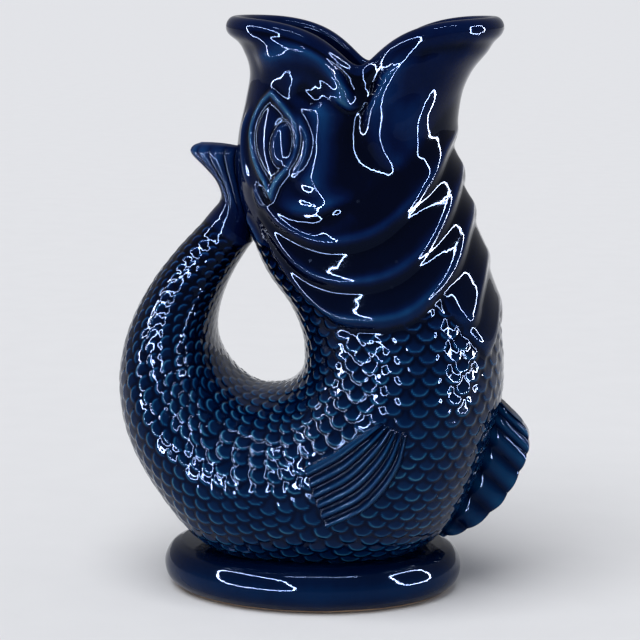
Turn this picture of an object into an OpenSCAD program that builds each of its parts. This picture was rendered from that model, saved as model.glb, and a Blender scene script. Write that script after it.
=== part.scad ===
// Fish gurgle jug: a glazed, slip-cast jug in the shape of a fish that stands on its belly.
// It pours from the open mouth, and the hollow tail that bends round as the handle traps the air
// that gurgles. The jug stands on z = 0, the lower jaw and belly fin point along +X, the tail
// along -X, and y = 0 is its middle plane. Every skin is a loft through rings of one station table.

/* [Overall] */
// Height to the tips of the lips
jug_h = 245; // [210:1:290]
// Width from the bend of the tail to the edge of the belly fin
jug_w = 180; // [155:1:215]
// Depth of the belly from side to side
jug_d = 104; // [90:1:125]

/* [Casting] */
// Thickness of the cast wall
wall = 5; // [3.5:0.5:7]
// Thickness of the rounded lip round the mouth
lip_t = 6.6; // [5:0.2:9]
// Slip left between the body and a piece that is luted on
slip = 0.3; // [0.2:0.05:0.5]

/* [Foot] */
// Height of the oval foot
foot_h = 19; // [15:0.5:24]
// Length of the foot at its widest, front to back
foot_w = 129; // [120:1:145]
// Depth of the foot at its widest, side to side
foot_d = 101; // [96:1:122]
// Depth of the recess under the foot
recess = 5; // [3:0.5:8]

/* [Gills] */
// How far the lower edge of a gill fold stands proud
fold_t = 3.6; // [2.5:0.1:4.5]

/* [Fins] */
// How far a rib of the side fins stands proud of the belly
side_fin_t = 4.4; // [3:0.1:6]
// Depth of the grooves between the ribs of the side fins
side_fin_groove = 1.8; // [0.8:0.1:2.4]
// Ribs of each side fin
side_fin_ribs = 7; // [5:1:9]
// Thickness of the belly fin at its root
belly_fin_t = 9; // [6:0.5:12]
// Depth of the grooves between the ribs of the belly fin
belly_fin_groove = 1.1; // [0.5:0.1:1.6]
// Ribs of the belly fin
belly_fin_ribs = 9; // [7:1:11]
// Thickness of the tail fin at its root
fluke_t = 15; // [12:0.5:18]

/* [Eyes] */
// Height of the almond that the eyelid follows
eye_h = 38; // [32:1:44]
// Width of the eyelid's ridge
lid_w = 3.6; // [2.5:0.1:4.5]
// How far the eyelid's ridge stands proud
lid_t = 2.6; // [1.8:0.1:3.5]
// How far the eyeball stands proud
eyeball_t = 4.4; // [3:0.1:6]

/* [Hidden] */

glaze = [0.03, 0.10, 0.32];
glaze_thin = [0.10, 0.25, 0.42];
glaze_thick = [0.01, 0.03, 0.14];

// Facets round a ring, and the power of the rounded outline that each ring follows
facets = 36;
ring_power = 2.25;
// Halvings in a search, and how far in front of the head one starts, as a share of jug_w
search_count = 18;
head_reach_share = 0.17;
// Angles that the pinch at the sides of the mouth and the notch in its rim spread over, and the
// angle that rounds the notch's floor
waist_angle = 32;
notch_angle = 14;
notch_round_angle = 2.5;

// One row a station, from the lips down the throat, round under the finger loop and up the tail:
// inner point x and z, outer point x and z, half the depth, then how much the ring's sides are
// pinched in and how far they dip. The x are shares of jug_w, the z and the dip of jug_h, the
// depth of jug_d, and the pinch of that half depth.
ring_shares = [
    [-0.216, 1.000, 0.423, 1.000, 0.370, 0.34, 0.080],
    [-0.220, 0.976, 0.418, 0.976, 0.370, 0.34, 0.079],
    [-0.183, 0.943, 0.387, 0.943, 0.356, 0.32, 0.073],
    [-0.167, 0.906, 0.347, 0.906, 0.344, 0.29, 0.058],
    [-0.177, 0.857, 0.319, 0.857, 0.338, 0.24, 0.036],
    [-0.194, 0.800, 0.301, 0.800, 0.344, 0.17, 0.018],
    [-0.199, 0.739, 0.318, 0.739, 0.353, 0.10, 0.006],
    [-0.186, 0.678, 0.343, 0.678, 0.370, 0.04, 0],
    [-0.159, 0.616, 0.370, 0.616, 0.388, 0, 0],
    [-0.126, 0.563, 0.392, 0.563, 0.405, 0, 0],
    [-0.073, 0.510, 0.414, 0.510, 0.423, 0, 0],
    [-0.044, 0.461, 0.427, 0.459, 0.442, 0, 0],
    [-0.038, 0.423, 0.432, 0.406, 0.459, 0, 0],
    [-0.041, 0.400, 0.430, 0.349, 0.476, 0, 0],
    [-0.054, 0.383, 0.409, 0.288, 0.489, 0, 0],
    [-0.072, 0.370, 0.366, 0.192, 0.500, 0, 0],
    [-0.091, 0.362, 0.276, 0.096, 0.500, 0, 0],
    [-0.111, 0.358, 0.130, 0.049, 0.500, 0, 0],
    [-0.132, 0.356, -0.028, 0.041, 0.500, 0, 0],
    [-0.152, 0.356, -0.170, 0.051, 0.500, 0, 0],
    [-0.172, 0.359, -0.283, 0.088, 0.492, 0, 0],
    [-0.194, 0.367, -0.386, 0.176, 0.470, 0, 0],
    [-0.219, 0.383, -0.455, 0.265, 0.430, 0, 0],
    [-0.241, 0.407, -0.482, 0.351, 0.375, 0, 0],
    [-0.255, 0.439, -0.474, 0.427, 0.315, 0, 0],
    [-0.253, 0.476, -0.445, 0.489, 0.258, 0, 0],
    [-0.237, 0.518, -0.402, 0.545, 0.212, 0, 0],
    [-0.210, 0.560, -0.347, 0.597, 0.173, 0, 0],
    [-0.181, 0.594, -0.288, 0.643, 0.144, 0, 0],
    [-0.166, 0.610, -0.255, 0.670, 0.130, 0, 0]];

// Rows counted from the lips down to where the head, the throat and the belly section ends
head_row_count = 8;
throat_row_count = 13;
belly_row_count = 23;
tail_end_row = len(ring_shares) - 1;
tail_plug_row = tail_end_row - 1;
// Rings that close the tail against the head, as shares of its last ring
seat_shares = [0.5, 1];

// Lower edges of the gills, as shares of jug_h, at every 20 degrees round from the front
edge_step_angle = 20;
gill_end_angle = 140;
cover_top_shares = [0.885, 0.865, 0.825, 0.775, 0.730, 0.696, 0.692, 0.725];
cover_edge_shares = [0.796, 0.771, 0.724, 0.678, 0.637, 0.622, 0.647, 0.698];
upper_edge_shares = [0.733, 0.700, 0.653, 0.604, 0.569, 0.559, 0.584, 0.665];
lower_edge_shares = [0.667, 0.637, 0.584, 0.541, 0.506, 0.496, 0.514, 0.620];
// The two leaves under the jaw reach only part of the way round, at every 10 degrees
leaf_step_angle = 10;
leaf_upper_end_angle = 55;
leaf_lower_end_angle = 48;
leaf_top_shares = [0.667, 0.655, 0.637, 0.612, 0.584, 0.562, 0.541];
leaf_upper_shares = [0.582, 0.573, 0.553, 0.528, 0.494, 0.502, 0.552];
leaf_lower_shares = [0.506, 0.488, 0.460, 0.445, 0.463, 0.500, 0.560];
// How proud a fold still is at its ends, and across it how far down a row of points lies and how
// proud of the body it is, both as shares of fold_t
fold_end_share = 0.2;
fold_row_shares = [[0, 0.12], [0.3, 0.62], [0.62, 0.92], [0.86, 1], [1, 0.42]];

// Outline of the side fin in the middle plane: its upper and its lower edge from the root to the
// trailing edge, x as shares of jug_w and z of jug_h
side_fin_upper_shares = [[0.204, 0.338], [0.145, 0.316], [0.073, 0.285], [-0.003, 0.250]];
side_fin_lower_shares = [[0.236, 0.322], [0.215, 0.258], [0.150, 0.194], [0.048, 0.153]];
// How proud the fin is at its root, as a share of side_fin_t
side_fin_root_share = 0.55;
// Share of the fin's length over which it rises to its full height
side_fin_rise_share = 0.33;
// Steps along the fin, and points across each rib
side_fin_step_count = 9;
side_fin_sample_count = 3;

// Belly fin: station on the belly, and length of the ray there as a share of jug_w
belly_fin_shares = [[13.15, 0.030], [13.25, 0.080], [13.6, 0.100], [14, 0.104], [14.5, 0.094],
    [15, 0.078], [15.5, 0.052], [15.85, 0.022], [15.95, 0.006]];
// Slope of its rays, and the section across a ray: shares of the ray's length and of half the thickness
belly_fin_angle = -42;
belly_fin_section_shares = [[0, -1], [0.45, -0.85], [0.85, -0.62], [1, 0], [0.85, 0.62], [0.45, 0.85],
    [0, 1]];
// Rings of points to each rib
belly_fin_sample_count = 3;

// Tail fin, from its root on the tail to its crest: how far its left edge lies from the root's
// left end in x and z, how far its right end lies above the root's, and its thickness, as shares
// of jug_w, jug_h, jug_h and fluke_t
fluke_shares = [[0, 0, 0, 1.00], [0.011, 0.025, 0.011, 1.00],
    [0.003, 0.047, 0.022, 0.97], [-0.018, 0.063, 0.034, 0.92], [-0.044, 0.080, 0.044, 0.84],
    [-0.059, 0.098, 0.052, 0.72], [-0.048, 0.109, 0.057, 0.52], [-0.023, 0.114, 0.060, 0.24]];
fluke_facets = 20;

// Middle of the eye: degrees round the head from the front, and height as a share of jug_h
eye_angle = 119.5;
eye_z_share = 0.793;
// Lean of the almond, in degrees round the head from its foot to its top
eye_lean_angle = 5;
// The eyeball sits this far towards the front of the almond, in degrees round the head
ball_angle = 4;
// Half the width of the eyelid's almond and of the eyeball, in degrees round the head
lid_half_angle = 13;
ball_half_angle = 7.5;
// Height of the eyeball as a share of eye_h
ball_h_share = 0.60;
// Section across the eyelid's ridge: shares of half its width and of lid_t
lid_section_shares = [[-1, 0], [-0.55, 0.8], [0, 1], [0.55, 0.8], [1, 0]];
// Rings of the eyeball from its rim inwards, as shares of its radius
ball_shares = [1, 0.85, 0.5];
eye_facets = 24;
// Power that draws the almond's ends out to points
almond_power = 1.25;

// Middle of the foot along X, as a share of jug_w
foot_mid_share = -0.024;
// Foot: distance in from its widest point, as a share of foot_h, and height, as a share of foot_h
foot_side_shares = [[0.36, 1], [0.17, 0.90], [0.04, 0.70], [0, 0.48], [0.06, 0.24], [0.24, 0.06],
    [0.38, 0]];
// Width of the flat ring that it stands on, and how far the recess narrows upwards, as shares of foot_h
foot_ring_share = 0.55;
recess_taper_share = 0.15;

// Value of column c between the rows of a table, smooth through every row
function row_slope(t, i, c) =
    let (a = max(i - 1, 0), b = min(i + 1, len(t) - 1)) (t[b][c] - t[a][c]) / (b - a);
function smooth(t, s, c) =
    let (i = min(floor(s), len(t) - 2), u = s - i, v = 1 - u)
    t[i][c] * (1 + 2 * u) * v * v + row_slope(t, i, c) * u * v * v
    + t[i + 1][c] * (1 + 2 * v) * u * u - row_slope(t, i + 1, c) * v * u * u;
function column(list) = [for (v = list) [v]];
function ease(u) = let (v = max(0, min(1, u))) v * v * (3 - 2 * v);
function signed_pow(v, p) = sign(v) * pow(abs(v), p);
function mix(a, b, u) = a * (1 - u) + b * u;

// Point of the body at station s, a degrees round from the front, towards -Y first, and inset
// into the wall. A negative inset stands proud. The belly is cut flat on top of the foot.
function waist(a) = exp(-pow((abs(a) - 90) / waist_angle, 2));
function notch(a) = exp((notch_round_angle - norm([abs(a) - 90, notch_round_angle])) / notch_angle);
function inner_end(s) = [jug_w * smooth(ring_shares, s, 0), jug_h * smooth(ring_shares, s, 1)];
function outer_end(s) = [jug_w * smooth(ring_shares, s, 2), jug_h * smooth(ring_shares, s, 3)];
function half_depth(s) = jug_d * smooth(ring_shares, s, 4);
function body_point(s, a, inset = 0) =
    let (p = inner_end(s), q = outer_end(s), mid = (p + q) / 2, along = (q - p) / norm(q - p),
        w = waist(a), half_w = norm(q - p) / 2 - inset,
        half_d = half_depth(s) * (1 - smooth(ring_shares, s, 5) * w) - inset,
        u = half_w * signed_pow(cos(a), 2 / ring_power),
        y = -half_d * signed_pow(sin(a), 2 / ring_power),
        z = mid[1] + u * along[1] - jug_h * smooth(ring_shares, s, 6) * notch(a))
    [mid[0] + u * along[0], y, max(z, foot_h + inset)];
function body_ring(s, inset = 0) =
    [for (i = [0:facets - 1]) body_point(s, 360 * i / facets - 180, inset)];

// Station of the head or throat that lies at height z
function station_at(z, low = 0, high = throat_row_count - 1, tries = search_count) =
    let (mid = (low + high) / 2)
    tries == 0 ? mid
    : jug_h * smooth(ring_shares, mid, 3) > z ? station_at(z, mid, high, tries - 1)
    : station_at(z, low, mid, tries - 1);

// True where a point lies inside the head or the throat, grown by a margin
function in_head(p, margin) =
    let (s = station_at(p[2]), a = inner_end(s)[0], b = outer_end(s)[0])
    pow(abs((p[0] - (a + b) / 2) / ((b - a) / 2 + margin)), ring_power)
    + pow(abs(p[1] / (half_depth(s) + margin)), ring_power) < 1;
// Point where a line from p, outside the head, first meets it
function onto_head(p, dir, low = 0, high = jug_w * head_reach_share, tries = search_count) =
    let (mid = (low + high) / 2)
    tries == 0 ? p + low * dir
    : in_head(p + mid * dir, slip) ? onto_head(p, dir, low, mid, tries - 1)
    : onto_head(p, dir, mid, high, tries - 1);

// Half depth of the belly at a point of the middle plane: the station whose ring passes through
// the point is found first, then the place on that ring
function ring_side(s, p) = cross(outer_end(s) - inner_end(s), p - inner_end(s));
function belly_station(p, low = throat_row_count, high = belly_row_count, tries = search_count) =
    let (mid = (low + high) / 2)
    tries == 0 ? mid
    : ring_side(mid, p) < 0 ? belly_station(p, mid, high, tries - 1)
    : belly_station(p, low, mid, tries - 1);
function belly_side(p) =
    let (s = belly_station(p), a = inner_end(s), b = outer_end(s),
        u = 2 * norm(p - a) / norm(b - a) - 1)
    half_depth(s) * pow(max(0, 1 - pow(abs(u), ring_power)), 1 / ring_power);

function centre(ring) = [for (i = [0:2]) [for (p = ring) p[i]] * [for (p = ring) 1] / len(ring)];

// Closed skin over rings of equal length: looped joins the last ring to the first, and otherwise
// both ends are closed by a fan about a tip
module skin(rings, looped = false, first_tip = undef, last_tip = undef) {
    n = len(rings);
    k = len(rings[0]);
    tips = looped ? [] : [is_undef(first_tip) ? centre(rings[0]) : first_tip,
        is_undef(last_tip) ? centre(rings[n - 1]) : last_tip];
    sides = [for (i = [0:(looped ? n : n - 1) - 1], j = [0:k - 1])
        let (a = i * k + j, b = i * k + (j + 1) % k, e = (i + 1) % n * k)
        each [[a, e + (j + 1) % k, e + j], [a, b, e + (j + 1) % k]]];
    fans = looped ? [] : [for (j = [0:k - 1])
        each [[n * k, (j + 1) % k, j], [n * k + 1, (n - 1) * k + j, (n - 1) * k + (j + 1) % k]]];
    polyhedron([each [for (r = rings) each r], each tips], [each sides, each fans], convexity = 10);
}

// Solid between two grids of points of the same size, the outer one first
module slab(outer, inner) {
    rows = len(outer);
    cols = len(outer[0]);
    rim = function (g) [each [for (j = [0:cols - 1]) g[0][j]], each [for (i = [1:rows - 1]) g[i][cols - 1]],
        each [for (j = [cols - 2:-1:0]) g[rows - 1][j]], each [for (i = [rows - 2:-1:1]) g[i][0]]];
    index = function (i, j, side) side * rows * cols + i * cols + j;
    top = [for (i = [0:rows - 2], j = [0:cols - 2])
        let (a = index(i, j, 0), b = index(i, j + 1, 0), c = index(i + 1, j + 1, 0), d = index(i + 1, j, 0))
        each [[a, c, b], [a, d, c]]];
    under = [for (i = [0:rows - 2], j = [0:cols - 2])
        let (a = index(i, j, 1), b = index(i, j + 1, 1), c = index(i + 1, j + 1, 1), d = index(i + 1, j, 1))
        each [[a, b, c], [a, c, d]]];
    loop = rim([for (i = [0:rows - 1]) [for (j = [0:cols - 1]) index(i, j, 0)]]);
    low_loop = rim([for (i = [0:rows - 1]) [for (j = [0:cols - 1]) index(i, j, 1)]]);
    walls = [for (m = [0:len(loop) - 1])
        let (o = (m + 1) % len(loop))
        each [[loop[m], low_loop[o], low_loop[m]], [loop[m], loop[o], low_loop[o]]]];
    polyhedron([each [for (r = outer) each r], each [for (r = inner) each r]],
        [each top, each under, each walls], convexity = 10);
}

// Length of open shell between two stations, the outer skin in half steps and the bore in whole ones
function outer_rings(from, to) = [for (s = [to:-0.5:from]) body_ring(s)];
function bore_rings(from, to) = [for (s = [from:1:to]) body_ring(s, wall)];

// The lip is a half round from the outer skin over to the bore
lip_angles = [0:45:180];
function lip_rings() = [for (t = lip_angles)
    [for (p = body_ring(0, lip_t / 2 * (1 - cos(t)))) p - [0, 0, lip_t / 2 * (1 - sin(t))]]];

module head_shell() {
    rim = lip_rings();
    color(glaze)
    skin([each outer_rings(1, head_row_count), each rim, each bore_rings(1, head_row_count)],
        looped = true);
}

// An open length of shell, cut square to its middle line at both ends
module cast_section(from, to) {
    skin([each outer_rings(from, to), each bore_rings(from, to)], looped = true);
}

module throat_shell() {
    color(glaze) cast_section(head_row_count, throat_row_count);
}

module belly_shell() {
    color(glaze) cast_section(throat_row_count, belly_row_count);
}

// The tail's upper end runs on along its own line until it meets the back of the head
tail_along = let (d = outer_end(tail_end_row) - inner_end(tail_end_row)) [d[1], 0, -d[0]] / norm(d);
function tail_seat(share) =
    let (ring = body_ring(tail_end_row), c = centre(ring))
    [for (p = ring) onto_head(mix(c, p, share), tail_along)];

module tail_handle() {
    color(glaze)
    skin([each [for (f = seat_shares) tail_seat(f)], each outer_rings(belly_row_count, tail_end_row),
            each bore_rings(belly_row_count, tail_plug_row)],
        first_tip = onto_head(centre(body_ring(tail_end_row)), tail_along));
}

// The tail fin stands on the end of the tail, whose round it follows down both sides, and leans
// against the back of the head. Its root runs along the tail's upper edge.
tail_down = let (d = inner_end(tail_end_row) - outer_end(tail_end_row)) [d[0], 0, d[1]];
function tail_saddle(y) =
    tail_down / 2 * (1 - pow(1 - pow(abs(y) / half_depth(tail_end_row), ring_power), 1 / ring_power));
fluke_left = let (p = outer_end(tail_end_row)) [p[0], 0, p[1]] - slip * tail_down / norm(tail_down);
fluke_right = onto_head(fluke_left, tail_along);
function fluke_ring(i) =
    let (row = fluke_shares[i], left = fluke_left + [jug_w * row[0], 0, jug_h * row[1]],
        right = i == 0 ? fluke_right
            : onto_head([left[0], 0, fluke_right[2] + jug_h * row[2]], [1, 0, 0]))
    [for (j = [0:fluke_facets - 1])
        let (a = 360 * j / fluke_facets, y = fluke_t / 2 * row[3] * sin(a))
        mix(left, right, (1 - cos(a)) / 2) + [0, y, 0] + (i == 0 ? tail_saddle(y) : [0, 0, 0])];

module tail_fin() {
    color(glaze_thin)
    skin([for (i = [0:len(fluke_shares) - 1]) fluke_ring(i)]);
}

// Oval foot with a rounded side, a flat ring to stand on and a shallow recess
function foot_oval(inset, z) = [for (i = [0:facets - 1])
    let (a = 360 * i / facets)
    [jug_w * foot_mid_share + (foot_w / 2 - inset) * cos(a), (foot_d / 2 - inset) * sin(a), z]];
module foot() {
    ring_in = foot_h * (foot_side_shares[len(foot_side_shares) - 1][0] + foot_ring_share);
    color(glaze_thick)
    skin([each [for (row = foot_side_shares) foot_oval(foot_h * row[0], foot_h * row[1])],
        foot_oval(ring_in, 0), foot_oval(ring_in + foot_h * recess_taper_share, recess)]);
}

// A gill fold lies on the body between two edges: thin under the edge above, proud at its own edge
function edge_z(shares, turn, step) = jug_h * smooth(column(shares), abs(turn) / step, 0);
function fold_point(top, bottom, turn, step, end, row, lift) =
    let (z = mix(edge_z(top, turn, step), edge_z(bottom, turn, step), row[0]),
        fade = ease((end - abs(turn)) / step))
    body_point(station_at(z), turn, -slip - lift * fold_t * row[1] * mix(fold_end_share, 1, fade));
module fold(top, bottom, step, end, count) {
    turns = [for (i = [0:count]) end * (2 * i / count - 1)];
    grid = function (lift) [for (row = fold_row_shares)
        [for (t = turns) fold_point(top, bottom, t, step, end, row, lift)]];
    slab(grid(1), grid(0));
}

module gill_cover() {
    color(glaze_thin) fold(cover_top_shares, cover_edge_shares, edge_step_angle, gill_end_angle, 28);
}
module gill_fold_upper() {
    color(glaze) fold(cover_edge_shares, upper_edge_shares, edge_step_angle, gill_end_angle, 28);
}
module gill_fold_lower() {
    color(glaze_thin) fold(upper_edge_shares, lower_edge_shares, edge_step_angle, gill_end_angle, 28);
}
module throat_leaf_upper() {
    color(glaze) fold(leaf_top_shares, leaf_upper_shares, leaf_step_angle, leaf_upper_end_angle, 22);
}
module throat_leaf_lower() {
    color(glaze_thin) fold(leaf_upper_shares, leaf_lower_shares, leaf_step_angle, leaf_lower_end_angle, 20);
}

// Ribbed side fin laid on the belly, built on the side towards -Y
function side_fin_place(u, v) =
    let (t = u * (len(side_fin_upper_shares) - 1),
        a = [smooth(side_fin_upper_shares, t, 0), smooth(side_fin_upper_shares, t, 1)],
        b = [smooth(side_fin_lower_shares, t, 0), smooth(side_fin_lower_shares, t, 1)],
        p = mix(a, b, v))
    [jug_w * p[0], jug_h * p[1]];
function side_fin_point(u, v, lift) =
    let (p = side_fin_place(u, v), rib = (1 - cos(360 * side_fin_ribs * v)) / 2,
        body = side_fin_t * mix(side_fin_root_share, 1, ease(u / side_fin_rise_share)),
        rise = body - side_fin_groove * (1 - rib))
    [p[0], -belly_side(p) - slip - lift * rise, p[1]];
module side_fin() {
    cols = side_fin_sample_count * side_fin_ribs;
    grid = function (lift) [for (i = [0:side_fin_step_count])
        [for (j = [cols:-1:0]) side_fin_point(i / side_fin_step_count, j / cols, lift)]];
    slab(grid(1), grid(0));
}
module side_fin_near() {
    color(glaze_thin) side_fin();
}
module side_fin_far() {
    color(glaze_thin) mirror([0, 1, 0]) side_fin();
}

// Belly fin: rays leave the belly's keel at one slope, and the ribs swell along them
function belly_fin_ring(u) =
    let (t = u * (len(belly_fin_shares) - 1), s = smooth(belly_fin_shares, t, 0),
        root = outer_end(s), reach = jug_w * smooth(belly_fin_shares, t, 1),
        ray = [cos(belly_fin_angle), sin(belly_fin_angle)],
        swell = belly_fin_groove * (1 - cos(360 * belly_fin_ribs * u)) / 2,
        half = (belly_fin_t / 2 - belly_fin_groove) + swell)
    [for (w = belly_fin_section_shares)
        let (p = root + ray * (slip + reach * w[0])) [p[0], w[1] * half, p[1]]];
module belly_fin() {
    count = belly_fin_sample_count * belly_fin_ribs;
    color(glaze_thin)
    skin([for (i = [0:count]) belly_fin_ring(i / count)]);
}

// Eye: an almond eyelid with a rounded ridge, and the eyeball inside it
function eye_point(turn, rise, lift) =
    let (z = jug_h * eye_z_share + rise, lean = eye_lean_angle * rise / (eye_h / 2))
    body_point(station_at(z + notch(eye_angle) * jug_h * smooth(ring_shares, station_at(z), 6)),
        eye_angle + lean + turn, -slip - lift);
function lid_ring(a) =
    let (c = signed_pow(cos(a), almond_power), s = sin(a), grow = lid_w / eye_h)
    [for (w = lid_section_shares)
        let (k = 1 + w[0] * grow)
        eye_point(lid_half_angle * c * k, eye_h / 2 * s * k, lid_t * w[1])];
function ball_ring(share) = [for (i = [0:eye_facets - 1])
    let (a = 360 * i / eye_facets)
    eye_point(ball_half_angle * share * cos(a) - ball_angle, eye_h / 2 * ball_h_share * share * sin(a),
        eyeball_t * sqrt(1 - share * share))];
module eye() {
    skin([for (i = [0:eye_facets - 1]) lid_ring(360 * i / eye_facets)], looped = true);
    skin([for (share = ball_shares) ball_ring(share)], last_tip = eye_point(-ball_angle, 0, eyeball_t));
}
module eye_near() {
    color(glaze_thin) eye();
}
module eye_far() {
    color(glaze_thin) mirror([0, 1, 0]) eye();
}

head_shell();
throat_shell();
belly_shell();
tail_handle();
tail_fin();
foot();
gill_cover();
gill_fold_upper();
gill_fold_lower();
throat_leaf_upper();
throat_leaf_lower();
side_fin_near();
side_fin_far();
belly_fin();
eye_near();
eye_far();
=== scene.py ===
# %% [markdown]
# # A glazed fish jug
# This notebook dresses a stoneware jug in the shape of a fish. The real jug is slip-cast in a
# plaster mould, its gills, fins and scales are part of that mould, and one thick cobalt glaze runs
# over everything: it pools dark in every hollow and thins to a paler blue on every edge. So the
# whole look hangs on relief. We build the skin again at a fine spacing, press the relief into it,
# and let the same relief tell the glaze how deep it is.

# %% Load the frame
import heapq
import math

import bpy
import numpy as np
from mathutils import Matrix, Vector


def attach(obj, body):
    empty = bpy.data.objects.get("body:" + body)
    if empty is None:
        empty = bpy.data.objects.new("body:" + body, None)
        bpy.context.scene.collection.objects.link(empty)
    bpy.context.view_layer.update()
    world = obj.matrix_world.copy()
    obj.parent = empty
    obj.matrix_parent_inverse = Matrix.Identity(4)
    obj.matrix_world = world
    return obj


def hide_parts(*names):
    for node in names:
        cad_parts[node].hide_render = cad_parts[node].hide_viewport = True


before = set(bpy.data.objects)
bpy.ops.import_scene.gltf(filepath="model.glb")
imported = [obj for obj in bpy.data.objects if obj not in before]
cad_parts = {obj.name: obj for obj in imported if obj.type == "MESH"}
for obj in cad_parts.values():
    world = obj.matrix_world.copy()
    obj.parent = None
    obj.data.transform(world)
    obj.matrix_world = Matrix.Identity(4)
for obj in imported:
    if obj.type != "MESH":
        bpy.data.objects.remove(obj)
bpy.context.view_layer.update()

# %% [markdown]
# ## The camera
# The camera comes first, because every later choice is judged through it. A long lens from a
# little above the lips gives the flat, upright look of a catalogue picture. It is aimed by turning
# round the upright axis first and tipping down second, so the jug's sides stay vertical.

# %% Camera
MM = 0.001
camera_turn = math.radians(8)
camera_tip = math.radians(10.01)
camera_distance = 900 * MM
camera_height = 275 * MM
camera_aim_x = -0.9 * MM
camera_data = bpy.data.cameras.new("camera")
camera_data.lens = 120.35
camera_data.sensor_width = 36
camera = bpy.data.objects.new("camera", camera_data)
camera.location = (
    camera_aim_x + math.sin(camera_turn) * camera_distance,
    -math.cos(camera_turn) * camera_distance,
    camera_height,
)
camera.rotation_euler = (math.pi / 2 - camera_tip, 0, camera_turn)
bpy.context.scene.collection.objects.link(camera)
bpy.context.scene.camera = camera
print("camera at", [round(v, 3) for v in camera.location])

# %% [markdown]
# ## The station table
# A fish that bends round on itself is easiest to describe by its cross-sections. Each row below is
# one ring: where its inner and its outer end lie in the middle plane, how deep it is, how much its
# sides are pinched in towards the mouth and how far the rim dips there. The rows run from the
# lips down the throat, round under the finger loop and up the tail. Sculpting could make such a
# body too, but a table keeps it on rings, which the relief can follow later. All lengths here are
# millimetres, and a mesh turns them into metres when it is made.

# %% Sizes and stations
JUG_H = 245.0
JUG_W = 180.0
JUG_D = 104.0
WALL = 5.0
LIP_T = 7.6
LIP_RISE = 4.8
FOOT_H = 19.0
RING_POWER = 2.25
WAIST_ANGLE = 32.0
NOTCH_ANGLE = 14.0
NOTCH_ROUND_ANGLE = 2.5

RING_SHARES = np.array([
    [-0.216, 1.000, 0.423, 1.000, 0.370, 0.34, 0.080],
    [-0.220, 0.976, 0.418, 0.976, 0.370, 0.34, 0.079],
    [-0.183, 0.943, 0.387, 0.943, 0.356, 0.32, 0.073],
    [-0.167, 0.906, 0.347, 0.906, 0.344, 0.29, 0.058],
    [-0.177, 0.857, 0.319, 0.857, 0.338, 0.24, 0.036],
    [-0.194, 0.800, 0.301, 0.800, 0.344, 0.17, 0.018],
    [-0.199, 0.739, 0.318, 0.739, 0.353, 0.10, 0.006],
    [-0.186, 0.678, 0.343, 0.678, 0.370, 0.04, 0],
    [-0.159, 0.616, 0.370, 0.616, 0.388, 0, 0],
    [-0.126, 0.563, 0.392, 0.563, 0.405, 0, 0],
    [-0.073, 0.510, 0.414, 0.510, 0.423, 0, 0],
    [-0.044, 0.461, 0.427, 0.459, 0.442, 0, 0],
    [-0.038, 0.423, 0.432, 0.406, 0.459, 0, 0],
    [-0.041, 0.400, 0.430, 0.349, 0.476, 0, 0],
    [-0.054, 0.383, 0.409, 0.288, 0.489, 0, 0],
    [-0.072, 0.370, 0.366, 0.192, 0.500, 0, 0],
    [-0.091, 0.362, 0.276, 0.096, 0.500, 0, 0],
    [-0.111, 0.358, 0.130, 0.049, 0.500, 0, 0],
    [-0.132, 0.356, -0.028, 0.041, 0.500, 0, 0],
    [-0.152, 0.356, -0.170, 0.051, 0.500, 0, 0],
    [-0.172, 0.359, -0.283, 0.088, 0.492, 0, 0],
    [-0.194, 0.367, -0.386, 0.176, 0.470, 0, 0],
    [-0.219, 0.383, -0.455, 0.265, 0.430, 0, 0],
    [-0.241, 0.407, -0.482, 0.351, 0.375, 0, 0],
    [-0.255, 0.439, -0.474, 0.427, 0.315, 0, 0],
    [-0.253, 0.476, -0.445, 0.489, 0.258, 0, 0],
    [-0.237, 0.518, -0.402, 0.545, 0.212, 0, 0],
    [-0.210, 0.560, -0.347, 0.597, 0.173, 0, 0],
    [-0.181, 0.594, -0.288, 0.643, 0.144, 0, 0],
    [-0.166, 0.610, -0.255, 0.670, 0.130, 0, 0],
])
INNER_X, INNER_Z, OUTER_X, OUTER_Z, DEPTH, PINCH, DIP = range(7)
HEAD_END = 8
THROAT_END = 13
BELLY_CUT = 18
BELLY_END = 23
TAIL_END = len(RING_SHARES) - 1
print("stations:", len(RING_SHARES))

# %% [markdown]
# ## From the table to a surface
# `smooth` runs a curve through every row of a table, so that the skin has no corner at a station.
# `body` then gives a point of the skin from two numbers: the station, and the angle round the ring
# from the front. A rounded power outline stands between an ellipse and a box, which is how a
# slip-cast belly looks.

# %% Curves through tables
def smooth(table, s, column):
    """The column's value at row s of a table, on a curve that passes through every row."""
    values = np.asarray(table, float)[:, column]
    slopes = np.gradient(values)
    s = np.asarray(s, float)
    i = np.clip(np.floor(s).astype(int), 0, len(values) - 2)
    u = s - i
    v = 1 - u
    near = values[i] * (1 + 2 * u) * v * v + slopes[i] * u * v * v
    far = values[i + 1] * (1 + 2 * v) * u * u - slopes[i + 1] * v * u * u
    return near + far


def share_at(s, column):
    """A column of the station table at station s."""
    return smooth(RING_SHARES, s, column)


def through(values, place):
    """The value at a place along a plain list, on the same kind of curve."""
    return smooth([[v] for v in values], place, 0)


def ease(u):
    """A soft step from 0 to 1 as u goes from 0 to 1."""
    u = np.clip(u, 0, 1)
    return u * u * (3 - 2 * u)


def hump(x, width):
    """A rounded bump of height 1 at 0."""
    return np.exp(-((x / width) ** 2))


def dome(x):
    """1 at 0, falling to 0 at 1 and beyond like a parabola."""
    return np.clip(1 - x ** 2, 0, 1)


def mix(a, b, u):
    """a where u is 0, b where it is 1, and a blend between."""
    return a * (1 - u) + b * u


def bisect(low, high, shape, holds):
    """Where a test that fails at low and holds at high begins to hold, for a whole array at once."""
    low = np.full(shape, float(low))
    high = np.full(shape, float(high))
    for _ in range(24):
        middle = (low + high) / 2
        found = holds(middle)
        high = np.where(found, middle, high)
        low = np.where(found, low, middle)
    return low


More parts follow.
